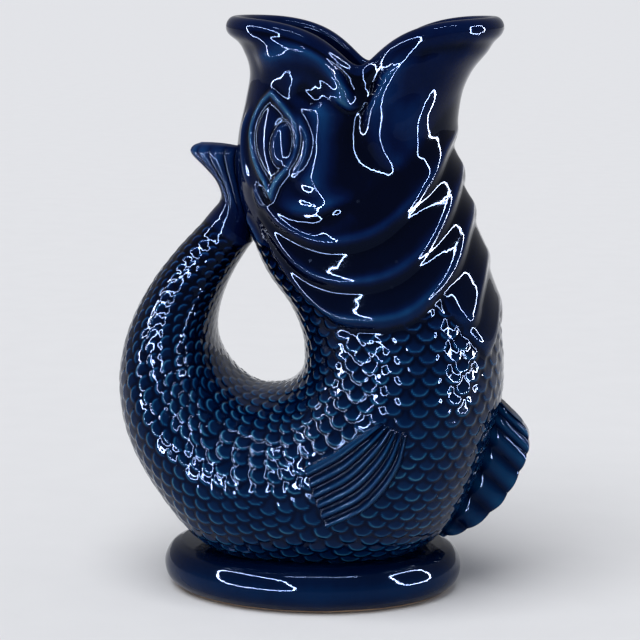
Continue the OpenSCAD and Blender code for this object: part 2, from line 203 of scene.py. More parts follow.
def unit(v):
    """The same directions with length 1."""
    return v / np.maximum(np.linalg.norm(v, axis=-1, keepdims=True), 1e-9)


print("half depth of the belly, as a share:", round(float(share_at(15.5, DEPTH)), 3))


# %% The skin
def signed_power(v, power):
    """A power that keeps the sign, which turns a circle into a rounder or a boxier oval."""
    return np.sign(v) * np.abs(v) ** power


def inner_end(s):
    """The end of ring s on the inside of the bend, as x and z in the middle plane."""
    return np.stack([JUG_W * share_at(s, INNER_X), JUG_H * share_at(s, INNER_Z)], -1)


def outer_end(s):
    """The end of ring s on the outside of the bend."""
    return np.stack([JUG_W * share_at(s, OUTER_X), JUG_H * share_at(s, OUTER_Z)], -1)


def rim_dip(s, a):
    """How far the ring's sides hang below its own line, which makes the notch of the mouth."""
    beside = np.hypot(np.abs(a) - 90, NOTCH_ROUND_ANGLE)
    return JUG_H * share_at(s, DIP) * np.exp((NOTCH_ROUND_ANGLE - beside) / NOTCH_ANGLE)


def body(s, a, inset=0.0):
    """Points of the skin at station s, a degrees round from the front towards -Y."""
    s, a, inset = np.broadcast_arrays(np.asarray(s, float), np.asarray(a, float), inset)
    low = inner_end(s)
    high = outer_end(s)
    middle = (low + high) / 2
    half_w = np.linalg.norm(high - low, axis=-1) / 2
    along = unit(high - low)
    pinch = share_at(s, PINCH) * hump(np.abs(a) - 90, WAIST_ANGLE)
    half_d = JUG_D * share_at(s, DEPTH) * (1 - pinch)
    turn = np.radians(a)
    u = (half_w - inset) * signed_power(np.cos(turn), 2 / RING_POWER)
    y = -(half_d - inset) * signed_power(np.sin(turn), 2 / RING_POWER)
    z = middle[..., 1] + u * along[..., 1] - rim_dip(s, a)
    return np.stack([middle[..., 0] + u * along[..., 0], y, np.maximum(z, FOOT_H + inset)], -1)


print("belly at its widest:", np.round(body(15.0, 90.0), 1))

# %% [markdown]
# ## A fine grid
# Relief needs points closer together than the relief itself. The rows are spread so that the
# longest side of the fan moves by one step from row to row, and the columns by equal angles. With
# steps of about 0.8 mm from row to row, and at most 1.4 mm round a ring, the scales keep their rims
# and the whole skin stays light enough to render.
# The grid starts a little below the top of the mouth, where the lip begins to roll over.

# %% Grid of the outer skin
ROW_STEP = 0.78
COLUMNS = 416
BORE_STEP = 4.0


def spread(first, last, step):
    """Stations from first to last whose rings lie about one step apart at their widest."""
    fine = np.linspace(first, last, 4001)
    ends = [np.linalg.norm(np.diff(end(fine), axis=0), axis=1) for end in (inner_end, outer_end)]
    path = np.concatenate([[0], np.cumsum(np.maximum(*ends))])
    count = math.ceil(path[-1] / step)
    return np.interp(np.linspace(0, path[-1], count + 1), path, fine)


stations = np.linspace(0, 2, 401)
drop = JUG_H * (1 - share_at(stations, OUTER_Z))
LIP_START = float(np.interp(LIP_RISE, drop, stations))
seams = [LIP_START, HEAD_END, THROAT_END, BELLY_CUT, BELLY_END, TAIL_END]
row_sets = [spread(a, b, ROW_STEP) for a, b in zip(seams[:-1], seams[1:])]
rows = np.concatenate([row_sets[0]] + [r[1:] for r in row_sets[1:]])
seam_rows = np.cumsum([0] + [len(r) - 1 for r in row_sets])
angles = np.arange(COLUMNS) * 360 / COLUMNS - 180
S, A = np.meshgrid(rows, angles, indexing="ij")
TURN = np.abs(A)
skin = body(S, A)
print("grid:", skin.shape[:2], "rows of each section:", np.diff(seam_rows))


# %% Slopes and normals of a grid
def slopes_of(points):
    """How a grid of points moves from row to row, and from column to column round the ring."""
    down = np.gradient(points, axis=0)
    across = (np.roll(points, -1, axis=1) - np.roll(points, 1, axis=1)) / 2
    return down, across


def normals_of(points):
    """Outward normals of a grid that closes round its columns."""
    down, across = slopes_of(points)
    return unit(np.cross(across, down))


skin_normals = normals_of(skin)
largest_step = np.linalg.norm(slopes_of(skin)[1], axis=-1).max()
print("largest step round a ring:", round(float(largest_step), 2), "mm")

# %% [markdown]
# ## How the scales run
# Real scales lie in rows like roof tiles, each row half a scale out of step with the one before,
# and all of them point away from the gills. On a body that bends, equal rows can't follow the
# rings, because a ring is long outside the bend and short inside it. So we first measure how far
# every point lies from the gills along the skin, counted in rows, with smaller rows on the thin
# tail. A shortest-path search over a coarse grid of the near half does that; the far half mirrors it.

# %% Distance from the gills, in rows of scales
SCALE_W = 8.9
SCALE_PITCH = 4.7
COARSE_STEP = 3.0
COARSE_ANGLE = 4
FIRST_SCALES = 7.0
TAIL_SCALES = 0.70
LOOP_SHRINK = 0.20

coarse_rows = spread(FIRST_SCALES, TAIL_END, COARSE_STEP)
coarse_angles = np.arange(0, 180 + COARSE_ANGLE, COARSE_ANGLE)
coarse = body(*np.meshgrid(coarse_rows, coarse_angles, indexing="ij"))


def scale_size(s, a):
    """Size of the scales as a share of the largest: smaller up the tail and beside the finger loop."""
    widening = ease((share_at(s, DEPTH) - 0.16) / 0.28)
    inside = (1 - np.cos(np.radians(a))) / 2
    return mix(TAIL_SCALES, 1.0, widening) * (1 - LOOP_SHRINK * inside * ease((s - 9) / 3))


size = scale_size(*np.meshgrid(coarse_rows, coarse_angles, indexing="ij"))
STEPS = [(i, j) for i in range(-3, 4) for j in range(-3, 4) if math.gcd(i, j) == 1]


def rows_from_gills():
    """Shortest way from the first coarse row to every point, where one row of scales counts as 1."""
    count, width = size.shape
    far = np.full((count, width), np.inf)
    far[0] = 0
    queue = [(0.0, 0, j) for j in range(width)]
    while queue:
        cost, i, j = heapq.heappop(queue)
        if cost > far[i, j]:
            continue
        for di, dj in STEPS:
            ni, nj = i + di, abs(j + dj)
            nj = 2 * (width - 1) - nj if nj > width - 1 else nj
            if not 0 <= ni < count:
                continue
            gap = math.dist(coarse[i, j], coarse[ni, nj])
            new = cost + gap * 2 / (SCALE_PITCH * (size[i, j] + size[ni, nj]))
            if new < far[ni, nj] - 1e-9:
                far[ni, nj] = new
                heapq.heappush(queue, (new, ni, nj))
    return far


def blur(field, times, wraps=False):
    """Spreads a grid of values over its neighbours, a little each time."""
    for _ in range(times):
        padded = np.concatenate([field[:1], field, field[-1:]])
        field = (padded[:-2] + 2 * padded[1:-1] + padded[2:]) / 4
        if wraps:
            field = (np.roll(field, 1, 1) + 2 * field + np.roll(field, -1, 1)) / 4
        else:
            padded = np.concatenate([field[:, 1:2], field, field[:, -2:-1]], axis=1)
            field = (padded[:, :-2] + 2 * padded[:, 1:-1] + padded[:, 2:]) / 4
    return field


row_field = blur(rows_from_gills(), 3)
print("rows of scales to the tip of the tail:", round(float(row_field[-1].min())), "to",
      round(float(row_field.max())))

# %% [markdown]
# ## Knitting the scales
# Now the rows are knitted one from the next. Each new scale starts midway between two scales of the
# row before and moves one row on, straight away from the gills. Where the body widens and a gap
# grows too large a scale is added, and where it narrows two of them become one, just as a
# modeller would cheat them in by hand.

# %% Knit
WIDE_GAP = 1.5
NARROW_GAP = 0.62
TO_KEEL = 0.3
MOST_ROWS = 120


def lookup(field, x):
    """Value of a coarse grid at fractional places x, two columns of row and column numbers."""
    i = np.clip(x[:, 0], 0, field.shape[0] - 1.001)
    j = np.clip(x[:, 1], 0, field.shape[1] - 1.001)
    i0, j0 = i.astype(int), j.astype(int)
    u, v = i - i0, j - j0
    if field.ndim == 3:
        u, v = u[:, None], v[:, None]
    near = field[i0, j0] * (1 - v) + field[i0, j0 + 1] * v
    far = field[i0 + 1, j0] * (1 - v) + field[i0 + 1, j0 + 1] * v
    return near * (1 - u) + far * u


# lead is the move, in coarse rows and columns, that goes one row of scales on by the shortest way
coarse_down = np.gradient(coarse, axis=0)
coarse_across = np.gradient(coarse, axis=1)
rise_down, rise_across = np.gradient(row_field)
g11 = (coarse_down ** 2).sum(-1)
g12 = (coarse_down * coarse_across).sum(-1)
g22 = (coarse_across ** 2).sum(-1)
det = g11 * g22 - g12 ** 2
lead = np.stack([g22 * rise_down - g12 * rise_across, g11 * rise_across - g12 * rise_down], -1)
lead = lead / det[..., None]
lead = lead / (rise_down * lead[..., 0] + rise_across * lead[..., 1])[..., None]
last_row, last_column = size.shape[0] - 1, size.shape[1] - 1


def gaps_between(x):
    """Distance between neighbours of a row, as a share of a scale's width there."""
    places = lookup(coarse, x)
    sizes = lookup(size, x)
    return np.linalg.norm(np.diff(places, axis=0), axis=1) / (SCALE_W * (sizes[1:] + sizes[:-1]) / 2)


def mended(x):
    """The row with scales added in its wide gaps and neighbours that crowd each other made one."""
    kept = [x[0]]
    for place, gap in zip(x[1:], gaps_between(x)):
        if gap > WIDE_GAP:
            kept += [(kept[-1] + place) / 2, place]
        elif gap < NARROW_GAP:
            kept[-1] = (kept[-1] + place) / 2
        else:
            kept.append(place)
    return np.array(kept)


def next_row(x):
    """The row after x: between its scales, and one row further from the gills."""
    new = [(a + b) / 2 for a, b in zip(x[:-1], x[1:])]
    if x[0][1] > 0:
        new.insert(0, np.array([x[0][0], 0.0]))
    if x[-1][1] < last_column:
        at_tip = x[-1][0] > last_row - 3
        new.append(1.5 * x[-1] - 0.5 * x[-2] if at_tip else np.array([x[-1][0], float(last_column)]))
    new = np.array(new)
    for _ in range(4):
        new = new + lookup(lead, new) / 4
    new[:, 1] = np.clip(new[:, 1], 0, last_column)
    new = new[new[:, 0] < last_row]
    if len(new) < 3:
        return new
    new = mended(new)
    side = np.abs(lookup(coarse, new)[:, 1]) / (SCALE_W * lookup(size, new))
    new[:, 1] = np.where((side < TO_KEEL) & (new[:, 1] < last_column / 2), 0.0, new[:, 1])
    new[:, 1] = np.where((side < TO_KEEL) & (new[:, 1] > last_column / 2), last_column, new[:, 1])
    _, single = np.unique(new.round(6), axis=0, return_index=True)
    new = new[np.sort(single)]
    new[1:-1] = 0.8 * new[1:-1] + 0.1 * (new[:-2] + new[2:])
    return new


first_ring = np.stack([np.zeros(last_column + 1), np.arange(last_column + 1)], -1)
first_count = round(float(gaps_between(first_ring).sum()))
row = np.stack([np.zeros(first_count + 1), np.linspace(0, last_column, first_count + 1)], -1)
knitted = [row]
while len(row) >= 3 and len(knitted) < MOST_ROWS:
    row = next_row(row)
    if len(row):
        knitted.append(row)
scale_x = np.concatenate(knitted)
scale_rank = np.concatenate([np.full(len(r), k) for k, r in enumerate(knitted)])
print("rows:", len(knitted), "scales on the near side:", len(scale_x))

# %% [markdown]
# ## Pressing the scales
# The scales are painted into a height map from the tail towards the gills, so that each row covers
# the roots of the row behind it. One scale rises from its root to its free edge and carries a thin
# raised rim there. The rim also gets a pale line, partly thin glaze and partly a painted highlight,
# and the crease just past its edge gets painted shade over its pooled glaze. No two are quite alike:
# each sits a hair off its place, and its rim stands out more or less. Thousands of separate tiles
# would do it as well, but they would not melt into one skin as slip does. Only a small window of
# the grid is touched for each, which keeps this quick.

# %% Press
SCALE_RISE = 0.95
SCALE_BOW = 0.22
SCALE_POWER = 2.2
ROOT = -1.5
RIM_T = 0.22
RIM_W = 0.75
EDGE_W = 0.7
LINE_AT = 0.75 * RIM_W
LINE_W = 0.62 * RIM_W
LINE_FROM = -0.75
CREASE_AT = -0.6 * RIM_W
CREASE_SHADE_TONE = -0.8
SHIFT = 0.28
SKEW = 0.10
FAINTEST = 0.55
WINDOW = 0.8
SLACK = 1.6


def press_scales():
    """Height of the pressed scales over the grid, and where their pale rims (1) and dark creases (-1)
    run: the rims partly thin glaze and partly painted highlight, the creases pooled glaze with painted
    shade.
    """
    height = np.full(S.shape, 0.5)
    rims = np.zeros(S.shape)
    places = lookup(coarse, scale_x)
    sizes = lookup(size, scale_x)
    stations = np.interp(scale_x[:, 0], np.arange(len(coarse_rows)), coarse_rows)
    turns = scale_x[:, 1] * COARSE_ANGLE
    step_down = lookup(coarse_down, scale_x)
    step_across = lookup(coarse_across, scale_x)
    heading = lookup(lead, scale_x)
    ahead = unit(step_down * heading[:, :1] + step_across * heading[:, 1:])
    upward = unit(np.cross(step_across, step_down))
    beside = np.cross(ahead, upward)
    hand = np.random.default_rng(11)
    shift = hand.uniform(-SHIFT, SHIFT, (2, len(scale_x)))
    bold = hand.uniform(FAINTEST, 1.0, len(scale_x))
    skew = hand.uniform(-SKEW, SKEW, len(scale_x))
    row_reach = SLACK / np.linalg.norm(step_down, axis=1)
    turn_reach = SLACK * COARSE_ANGLE / np.linalg.norm(step_across, axis=1)
    mirror = np.array([1, -1, 1])
    for n in np.argsort(-scale_rank, kind="stable"):
        reach = WINDOW * SCALE_W * sizes[n]
        low, high = np.interp(
            scale_x[n, 0] + np.array([-1, 1]) * reach * row_reach[n],
            np.arange(len(coarse_rows)), coarse_rows)
        i0, i1 = np.searchsorted(rows, [low, high])
        half = math.ceil(reach * turn_reach[n] * COLUMNS / 360) + 1
        for side in (1, -1):
            middle = round((side * turns[n] + 180) * COLUMNS / 360)
            j = np.arange(middle - half, middle + half + 1) % COLUMNS
            window = np.ix_(np.arange(i0, i1), j)
            flip = mirror if side < 0 else 1
            # x runs across the scale and y towards its free edge, both in half widths
            away = (skin[window] - places[n] * flip) / (SCALE_W / 2 * sizes[n])
            x = away @ (beside[n] * flip) + shift[0, n] * 2 / SCALE_W
            y = away @ (ahead[n] * flip) + shift[1, n] * 2 / SCALE_W + skew[n] * x
            round_end = (np.abs(x) ** SCALE_POWER + np.abs(y) ** SCALE_POWER) ** (1 / SCALE_POWER)
            rho = np.where(y > 0, round_end, np.abs(x))
            rho = np.where(y < ROOT, 2, rho)
            from_edge = (1 - rho) * SCALE_W / 2 * sizes[n]
            rise = SCALE_RISE * np.clip((y - ROOT) / (1 - ROOT), 0, 1) * (1 - SCALE_BOW * x * x)
            rise = rise + RIM_T * hump(from_edge - RIM_W, RIM_W)
            cover = ease(from_edge / EDGE_W + 0.5)
            height[window] = mix(height[window], rise * sizes[n], cover)
            # painted shade: the crease just past this scale's edge, under it, is darkened on top of its
            # pooled glaze
            behind = mix(rims[window], CREASE_SHADE_TONE, hump(from_edge - CREASE_AT, RIM_W))
            # painted highlight: the pale line along the rim is partly thin glaze and partly a painted
            # highlight
            tone = bold[n] * hump(from_edge - LINE_AT, LINE_W) * np.clip(y - LINE_FROM, 0, 1)
            rims[window] = mix(behind, tone, cover)
    return height, rims


scale_height, scale_rim_glints_and_shade = press_scales()
print("scales stand", round(float(scale_height.max()), 2), "mm proud of their roots")

# %% [markdown]
# ## The gills
# Five folds lie over one another like shingles: the gill cover, two gill folds, and two short
# leaves under the jaw. Each has a thin root tucked under the edge above and a rounded bead along its
# own edge. They could be pieces of their own, as they are in the plain solids, but as relief they
# melt into the neck under one glaze. Their edges are curves round the head, given every 20 degrees
# from the front, or every 10 for the leaves.

# %% Fold edges
FOLD_T = 3.6
FOLD_END_SHARE = 0.2
EDGE_STEP = 20
LEAF_STEP = 10
GILL_END = 140
BEAD = 2.5
DISH = 0.78
UPPER_LEAF_END = 55
LOWER_LEAF_END = 48
UPPER_LEAF_T = 3.2
LOWER_LEAF_T = 2.2
cover_top = [0.885, 0.865, 0.825, 0.775, 0.730, 0.696, 0.692, 0.725]
cover_edge = [0.796, 0.771, 0.724, 0.678, 0.637, 0.622, 0.647, 0.698]
upper_edge = [0.733, 0.700, 0.653, 0.604, 0.569, 0.559, 0.584, 0.665]
lower_edge = [0.667, 0.637, 0.584, 0.541, 0.506, 0.496, 0.514, 0.620]
leaf_top = [0.667, 0.655, 0.637, 0.612, 0.584, 0.562, 0.541]
leaf_upper = [0.582, 0.573, 0.553, 0.528, 0.494, 0.502, 0.552]
leaf_lower = [0.506, 0.488, 0.460, 0.445, 0.463, 0.500, 0.560]


def edge_height(edge, turn, step):
    """Height of a fold's edge above the table, turn degrees round from the front."""
    return JUG_H * through(edge, np.clip(turn / step, 0, len(edge) - 1))


level = JUG_H * share_at(S, OUTER_Z)


def fold(top, edge, step, end, root=0.12, height=FOLD_T):
    """Relief of one fold: a dished leaf that rises to a bead along its lower edge."""
    high = edge_height(top, TURN, step)
    low = edge_height(edge, TURN, step)
    above = level - low
    down = np.clip((high - level) / np.maximum(high - low, 1), 0, 1)
    leaf = mix(root, DISH, ease(down * 1.05))
    bead = hump(above - BEAD, BEAD * 0.9)
    shape = (leaf + (1 - leaf) * bead) * ease(above / 2.2 + 0.35)
    shape = np.where((level > high) | (S > THROAT_END), 0, shape)
    fade = ease((end - TURN) / step)
    return height * shape * mix(FOLD_END_SHARE, 1, fade) * ease((end - TURN) / 4 + 0.5)


folds = np.max([
    fold(cover_top, cover_edge, EDGE_STEP, GILL_END, 0),
    fold(cover_edge, upper_edge, EDGE_STEP, GILL_END),
    fold(upper_edge, lower_edge, EDGE_STEP, GILL_END),
    fold(leaf_top, leaf_upper, LEAF_STEP, UPPER_LEAF_END, 0.2, UPPER_LEAF_T),
    fold(leaf_upper, leaf_lower, LEAF_STEP, LOWER_LEAF_END, 0.4, LOWER_LEAF_T),
], axis=0)
folds = blur(folds, 12, wraps=True)
lowest_edge = edge_height(lower_edge, TURN, EDGE_STEP)
for leaf_edge, leaf_end in ((leaf_upper, UPPER_LEAF_END), (leaf_lower, LOWER_LEAF_END)):
    leaf_level = np.where(TURN < leaf_end, edge_height(leaf_edge, TURN, LEAF_STEP), JUG_H)
    lowest_edge = np.minimum(lowest_edge, leaf_level)
print("folds stand", round(float(folds.max()), 2), "mm proud")

# %% [markdown]
# ## Thumb marks on the head
# The head has no scales, so it lives by its soft ridges and hollows: the valley under the notch of
# the mouth, the thick upper lip that ends in a lobe, the brow, the cheek and the edge of the lower
# jaw. Each mark below is a line of places, in degrees round the head and shares of the jug's height,
# with its own height and width in millimetres. A painted height texture would do as well, but a
# line of places can be read and moved. A ridge fades out towards the ends of its line, as a thumb
# that lifts off the clay would leave it.

# %% Marks
DEGREE_W = 0.82


def line_through(places):
    """Points about a millimetre apart on a curve through places of the head, in millimetres."""
    table = np.array(places) * [DEGREE_W, JUG_H]
    t = np.linspace(0, len(table) - 1, 16 * len(table))
    return np.stack([smooth(table, t, 0), smooth(table, t, 1)], -1)


def mark(places, height, width, fade=0.25, last_fade=None):
    """A soft ridge along a line of places on the head, or a groove if its height is below 0."""
    line = line_through(places)
    head = S < HEAD_END + 1
    x = TURN[head] * DEGREE_W
    z = level[head]
    reach = np.full(x.shape, np.inf)
    along = np.zeros(x.shape)
    for n, (line_x, line_z) in enumerate(line):
        gap = np.hypot(x - line_x, z - line_z)
        closer = gap < reach
        reach = np.where(closer, gap, reach)
        along = np.where(closer, n / (len(line) - 1), along)
    ends = ease(along / fade) * ease((1 - along) / (last_fade or fade)) if fade else 1
    ridge = np.zeros(S.shape)
    ridge[head] = height * hump(reach, width) * ends
    return ridge


mouth_ridge = mark([(128, 0.694), (114, 0.685), (101, 0.687), (92, 0.702), (84, 0.732)], 1.2, 4.8, 0.35)
marks = sum([
    mouth_ridge,
    mark([(90, 1.0), (88, 0.96), (86.5, 0.92), (85.5, 0.87), (85, 0.80), (86, 0.74)],
         -4.0, 5.2, 0.1, 0.8),
    mark([(86, 0.90), (84, 0.85), (82, 0.80), (83, 0.75), (86, 0.69)], -1.4, 11, 0.4),
    mark([(77, 0.975), (76, 0.93), (73, 0.885), (66, 0.84), (56, 0.79)], 2.4, 9, 0.15, 0.5),
    mark([(150, 0.925), (128, 0.95), (110, 0.962), (99, 0.95), (94.5, 0.925), (93, 0.893)],
         3.4, 5.0, 0.2, 0.12),
    mark([(118, 0.905), (109, 0.886), (102, 0.872)], -1.4, 3.8, 0.3),
    mark([(109, 0.90), (100, 0.858), (96, 0.81), (96, 0.775), (100, 0.735), (105, 0.70)], 3.0, 6.2, 0.2),
    mark([(147, 0.905), (137, 0.925), (128, 0.922), (120, 0.905), (113, 0.885)], 0.6, 4.5),
    mark([(141, 0.962), (128, 0.972), (118, 0.968), (109, 0.955)], -0.7, 5.5),
    mark([(150, 0.86), (153, 0.82), (151, 0.78), (146, 0.74), (140, 0.71)], 1.3, 3.0),
    mark([(79, 0.97), (81, 0.945), (80, 0.89), (76, 0.84), (67, 0.79), (56, 0.742), (54, 0.71),
          (60, 0.68)], 1.3, 5.4, 0.3),
    mark([(60, 0.89), (54, 0.85), (47, 0.80), (45, 0.76), (47, 0.72)], 1.8, 12, 0.35),
    mark([(70, 0.955), (58, 0.962), (46, 0.96), (32, 0.952)], -0.7, 5.5),
    mark([(122, 0.666), (106, 0.662), (94, 0.676), (86, 0.702)], -1.9, 2.6, 0.35),
    mark([(104, 0.648), (96, 0.655), (90, 0.668), (84, 0.688)], 1.4, 4.0),
    mark([(134, 0.732), (131, 0.708), (129, 0.688)], -2.0, 2.2),
    mark([(138, 0.722), (136, 0.700), (134, 0.680)], 1.0, 1.8),
    mark([(160, 0.668), (153, 0.652), (149, 0.636), (147, 0.61)], 1.4, 2.4),
])
print("marks from", round(float(marks.min()), 2), "to", round(float(marks.max()), 2), "mm")

# %% [markdown]
# ## The eye
# The lid is one more mark: a ridge along the outline of an almond that stands upright and leans
# back at its top. A second fold follows its front edge. Inside it the eye swells gently, and an
# upright oval pupil stands on it like a button. Eye and lid could be pieces of their own, but as
# relief they lie under the same unbroken glaze as the cheek, as they do on the real jug.

# %% Eyes
EYE_SHARE = 0.7935
EYE_HALF_H = 20.0
EYE_TURN = 123.8
EYE_LEAN = 3.1
EYE_CURVE = 5.0
EYE_HALF_TURN = 16.0
EYE_EDGE = 2.2
BALL_T = 1.9
BALL_SINK = 1.3
PUPIL_TURN = 117.0
PUPIL_HALF_TURN = 6.6
PUPIL_HALF_H = 9.4
PUPIL_T = 1.5
PUPIL_POWER = 0.42
DITCH_T = 0.5
LID_T = 2.2
LID_W = 1.5
OUTER_LID_T = 1.7
OUTER_LID_W = 1.4
lid_back = [(131.7, 0.876), (137.5, 0.858), (140.8, 0.836), (141.2, 0.812), (139.5, 0.794),
            (136.5, 0.771), (132.2, 0.748), (128.4, 0.728), (125.2, 0.704)]
lid_front = [(131.7, 0.876), (123.5, 0.861), (117.0, 0.846), (111.8, 0.829), (108.6, 0.806),
             (109.2, 0.779), (112.8, 0.757), (117.0, 0.742), (121.5, 0.726), (125.2, 0.704)]
outer_fold = [(117.0, 0.860), (109.0, 0.836), (103.8, 0.808), (103.9, 0.779), (107.8, 0.752),
              (113.5, 0.738)]
rise = (level / JUG_H - EYE_SHARE) * JUG_H / EYE_HALF_H
middle_turn = EYE_TURN + EYE_LEAN * rise + EYE_CURVE * rise ** 2
half_turn = EYE_HALF_TURN * dome(rise) ** mix(1.65, 0.6, ease(rise * 1.5 + 0.5))
from_middle = np.abs(TURN - middle_turn)
inside = ease((half_turn - from_middle) * DEGREE_W / EYE_EDGE)
swell = BALL_T * np.sqrt(dome(from_middle / np.maximum(half_turn, 0.1))) * dome(rise) - BALL_SINK
pupil_rho = np.hypot((TURN - PUPIL_TURN) / PUPIL_HALF_TURN, rise * EYE_HALF_H / PUPIL_HALF_H)
pupil = PUPIL_T * dome(pupil_rho) ** PUPIL_POWER - DITCH_T * hump((pupil_rho - 1.12) * 8, 1.2)
lids = np.maximum(mark(lid_back, LID_T, LID_W, 0), mark(lid_front, LID_T, LID_W, 0))
outer_lid = mark(outer_fold, OUTER_LID_T, OUTER_LID_W)
on_head = (S < HEAD_END).astype(float)
eyes = on_head * (lids + outer_lid + inside * swell + pupil)
lid_tone_and_pupil_glint = np.clip(lids / LID_T, 0, 1) ** 3 + 0.5 * np.clip(outer_lid / OUTER_LID_T, 0, 1) ** 2
# painted highlight: a pale ring round the edge of the pupil, partly thin glaze on the button's rim
lid_tone_and_pupil_glint = lid_tone_and_pupil_glint + 0.5 * hump(pupil_rho - 0.93, 0.12)
print("eye from", round(float(eyes.min()), 2), "to", round(float(eyes.max()), 2), "mm")

# %% [markdown]
# ## Adding the relief up
# Where a fold lies there are no scales. They fade out on the smooth root of the tail fin, and are
# fainter inside the finger loop and up the tail. They are pressed in and not built up, so the jug grows
# no larger than its size. A light blur at the end is the glaze itself, which rounds every corner.
# A Displace modifier could lift the skin too, but the glaze's colour needs these numbers as well.

# %% Relief
SCALE_DEPTH = 1.05
TAIL_CALM = 0.65
LOOP_CALM = 0.55
LIP_ROLL = 0.4
LIP_ROLL_AT = 7
LIP_HOLLOW = 0.45
LIP_HOLLOW_AT = 11
LIP_ROLL_W = 2.4
below_folds = ease((lowest_edge - level) / 2)
tail_fade = ease((TAIL_END - 0.35 - S) / 0.8)
loop_fade = 1 - LOOP_CALM * ease((TURN - 150) / 25)
scaled = np.where(S < THROAT_END - 1, below_folds, 1) * tail_fade * loop_fade
calm = mix(1, TAIL_CALM, ease((S - 20) / 4))
below_lip = JUG_H - level
lip_roll = LIP_ROLL * hump(below_lip - LIP_ROLL_AT, LIP_ROLL_W)
lip_roll = lip_roll - LIP_HOLLOW * hump(below_lip - LIP_HOLLOW_AT, LIP_ROLL_W)
head_marks = np.where(S < HEAD_END, marks, marks * ease(HEAD_END + 1 - S))
head_marks = head_marks * mix(1, 0.35, ease(folds / 1.5))
relief = folds * (1 - scaled) + scaled * calm * (scale_height - SCALE_DEPTH)
relief = blur(relief + eyes + head_marks + lip_roll, 2, wraps=True)
glazed = skin + skin_normals * relief[..., None]
print("relief from", round(float(relief.min()), 2), "to", round(float(relief.max()), 2), "mm")

# %% [markdown]
# ## How deep the glaze lies
# Molten glaze drains off every edge and gathers in every hollow. A point that stands higher than
# the average of its surroundings has thin glaze, and a lower one has thick glaze. Two averages, a
# near one for lids and creases and a wide one for folds and hollows, give one number from 0, deep,
# to 1, thin. The scales are too fine for either, so each brings its own pale rim, partly a painted
# highlight, and dark root, partly painted shade. The same number also carries painted shade in the
# hollow under the notch and on the folds' tucked roots, and a painted highlight round the pupil.
# Blender's Pointiness is much like it, but it sees only the nearest points and only in Cycles.

# %% Glaze
PLAIN = 0.45
NEAR_TONE = 0.55
WIDE_TONE = 0.09
RIM_GLINT_AND_SHADE_TONE = 0.66
SLOPE_TONE = 0.26
LID_AND_PUPIL_GLINT_TONE = 0.22
MARK_TONE = 0.05
MOUTH_TONE = 0.13
HEAD_HOLLOW_SHADE_TONE = -0.13
FOLD_ROOT_SHADE_TONE = -0.17
FOLD_EDGE_TONE = 0.06


def glaze_thinness(height):
    """0 where glaze pools, PLAIN on plain ground and 1 on a sharp edge."""
    near = height - blur(height, 8, wraps=True)
    wide = height - blur(height, 60, wraps=True)
    return PLAIN + NEAR_TONE * near + WIDE_TONE * wide


# painted shade: a soft patch over the hollow under the mouth's notch is darkened beyond what its relief
# gives
head_hollow_shade = hump(TURN - 82, 20) * hump(level / JUG_H - 0.78, 0.10) * on_head
fold_edges = ease((folds / FOLD_T - 0.70) / 0.20)
# the pale rims here are partly painted highlight, and the dark creases are painted shade
scale_tone = RIM_GLINT_AND_SHADE_TONE * scale_rim_glints_and_shade - 0.03 + SLOPE_TONE * (scale_height - 0.75)
head_tone = LID_AND_PUPIL_GLINT_TONE * lid_tone_and_pupil_glint + MARK_TONE * head_marks + MOUTH_TONE * mouth_ridge
glaze_and_painted_light = glaze_thinness(relief - scaled * scale_height) + scaled * scale_tone
glaze_and_painted_light = glaze_and_painted_light + head_tone * on_head + HEAD_HOLLOW_SHADE_TONE * head_hollow_shade
# painted shade: each fold is darkened up to its bead, where it lies tucked under the fold above, on top
# of its pooled glaze; the bead itself stays paler with thin glaze
glaze_and_painted_light = glaze_and_painted_light + ease(folds / 0.6) * mix(FOLD_ROOT_SHADE_TONE, FOLD_EDGE_TONE, fold_edges)
glaze_and_painted_light = np.clip(glaze_and_painted_light, 0, 1)
print("glaze: thin on", round(float((glaze_and_painted_light > 0.7).mean()), 2), "of the skin, deep on",
      round(float((glaze_and_painted_light < 0.3).mean()), 2))

# %% [markdown]
# ## Meshes from grids
# Every piece is a grid of rings that closes round its columns. `ring_mesh` joins ring to ring with
# four-sided faces. If the last ring meets the first it closes the loop, and otherwise it closes both
# ends with a flat face. The faces' normals can come from the whole skin, so that two sections which
# meet at a seam shade as one. The map that it lays over the piece is the grid itself, and the strip
# that is left above the grid holds the two closing faces.

# %% Ring meshes
def enclosed(points, faces):
    """Volume inside four-sided faces: negative if they look inwards."""
    a, b, c, d = (points[faces[:, k]] for k in range(4))
    halves = np.einsum("ij,ij->i", a, np.cross(b, c)) + np.einsum("ij,ij->i", a, np.cross(c, d))
    return halves.sum() / 6


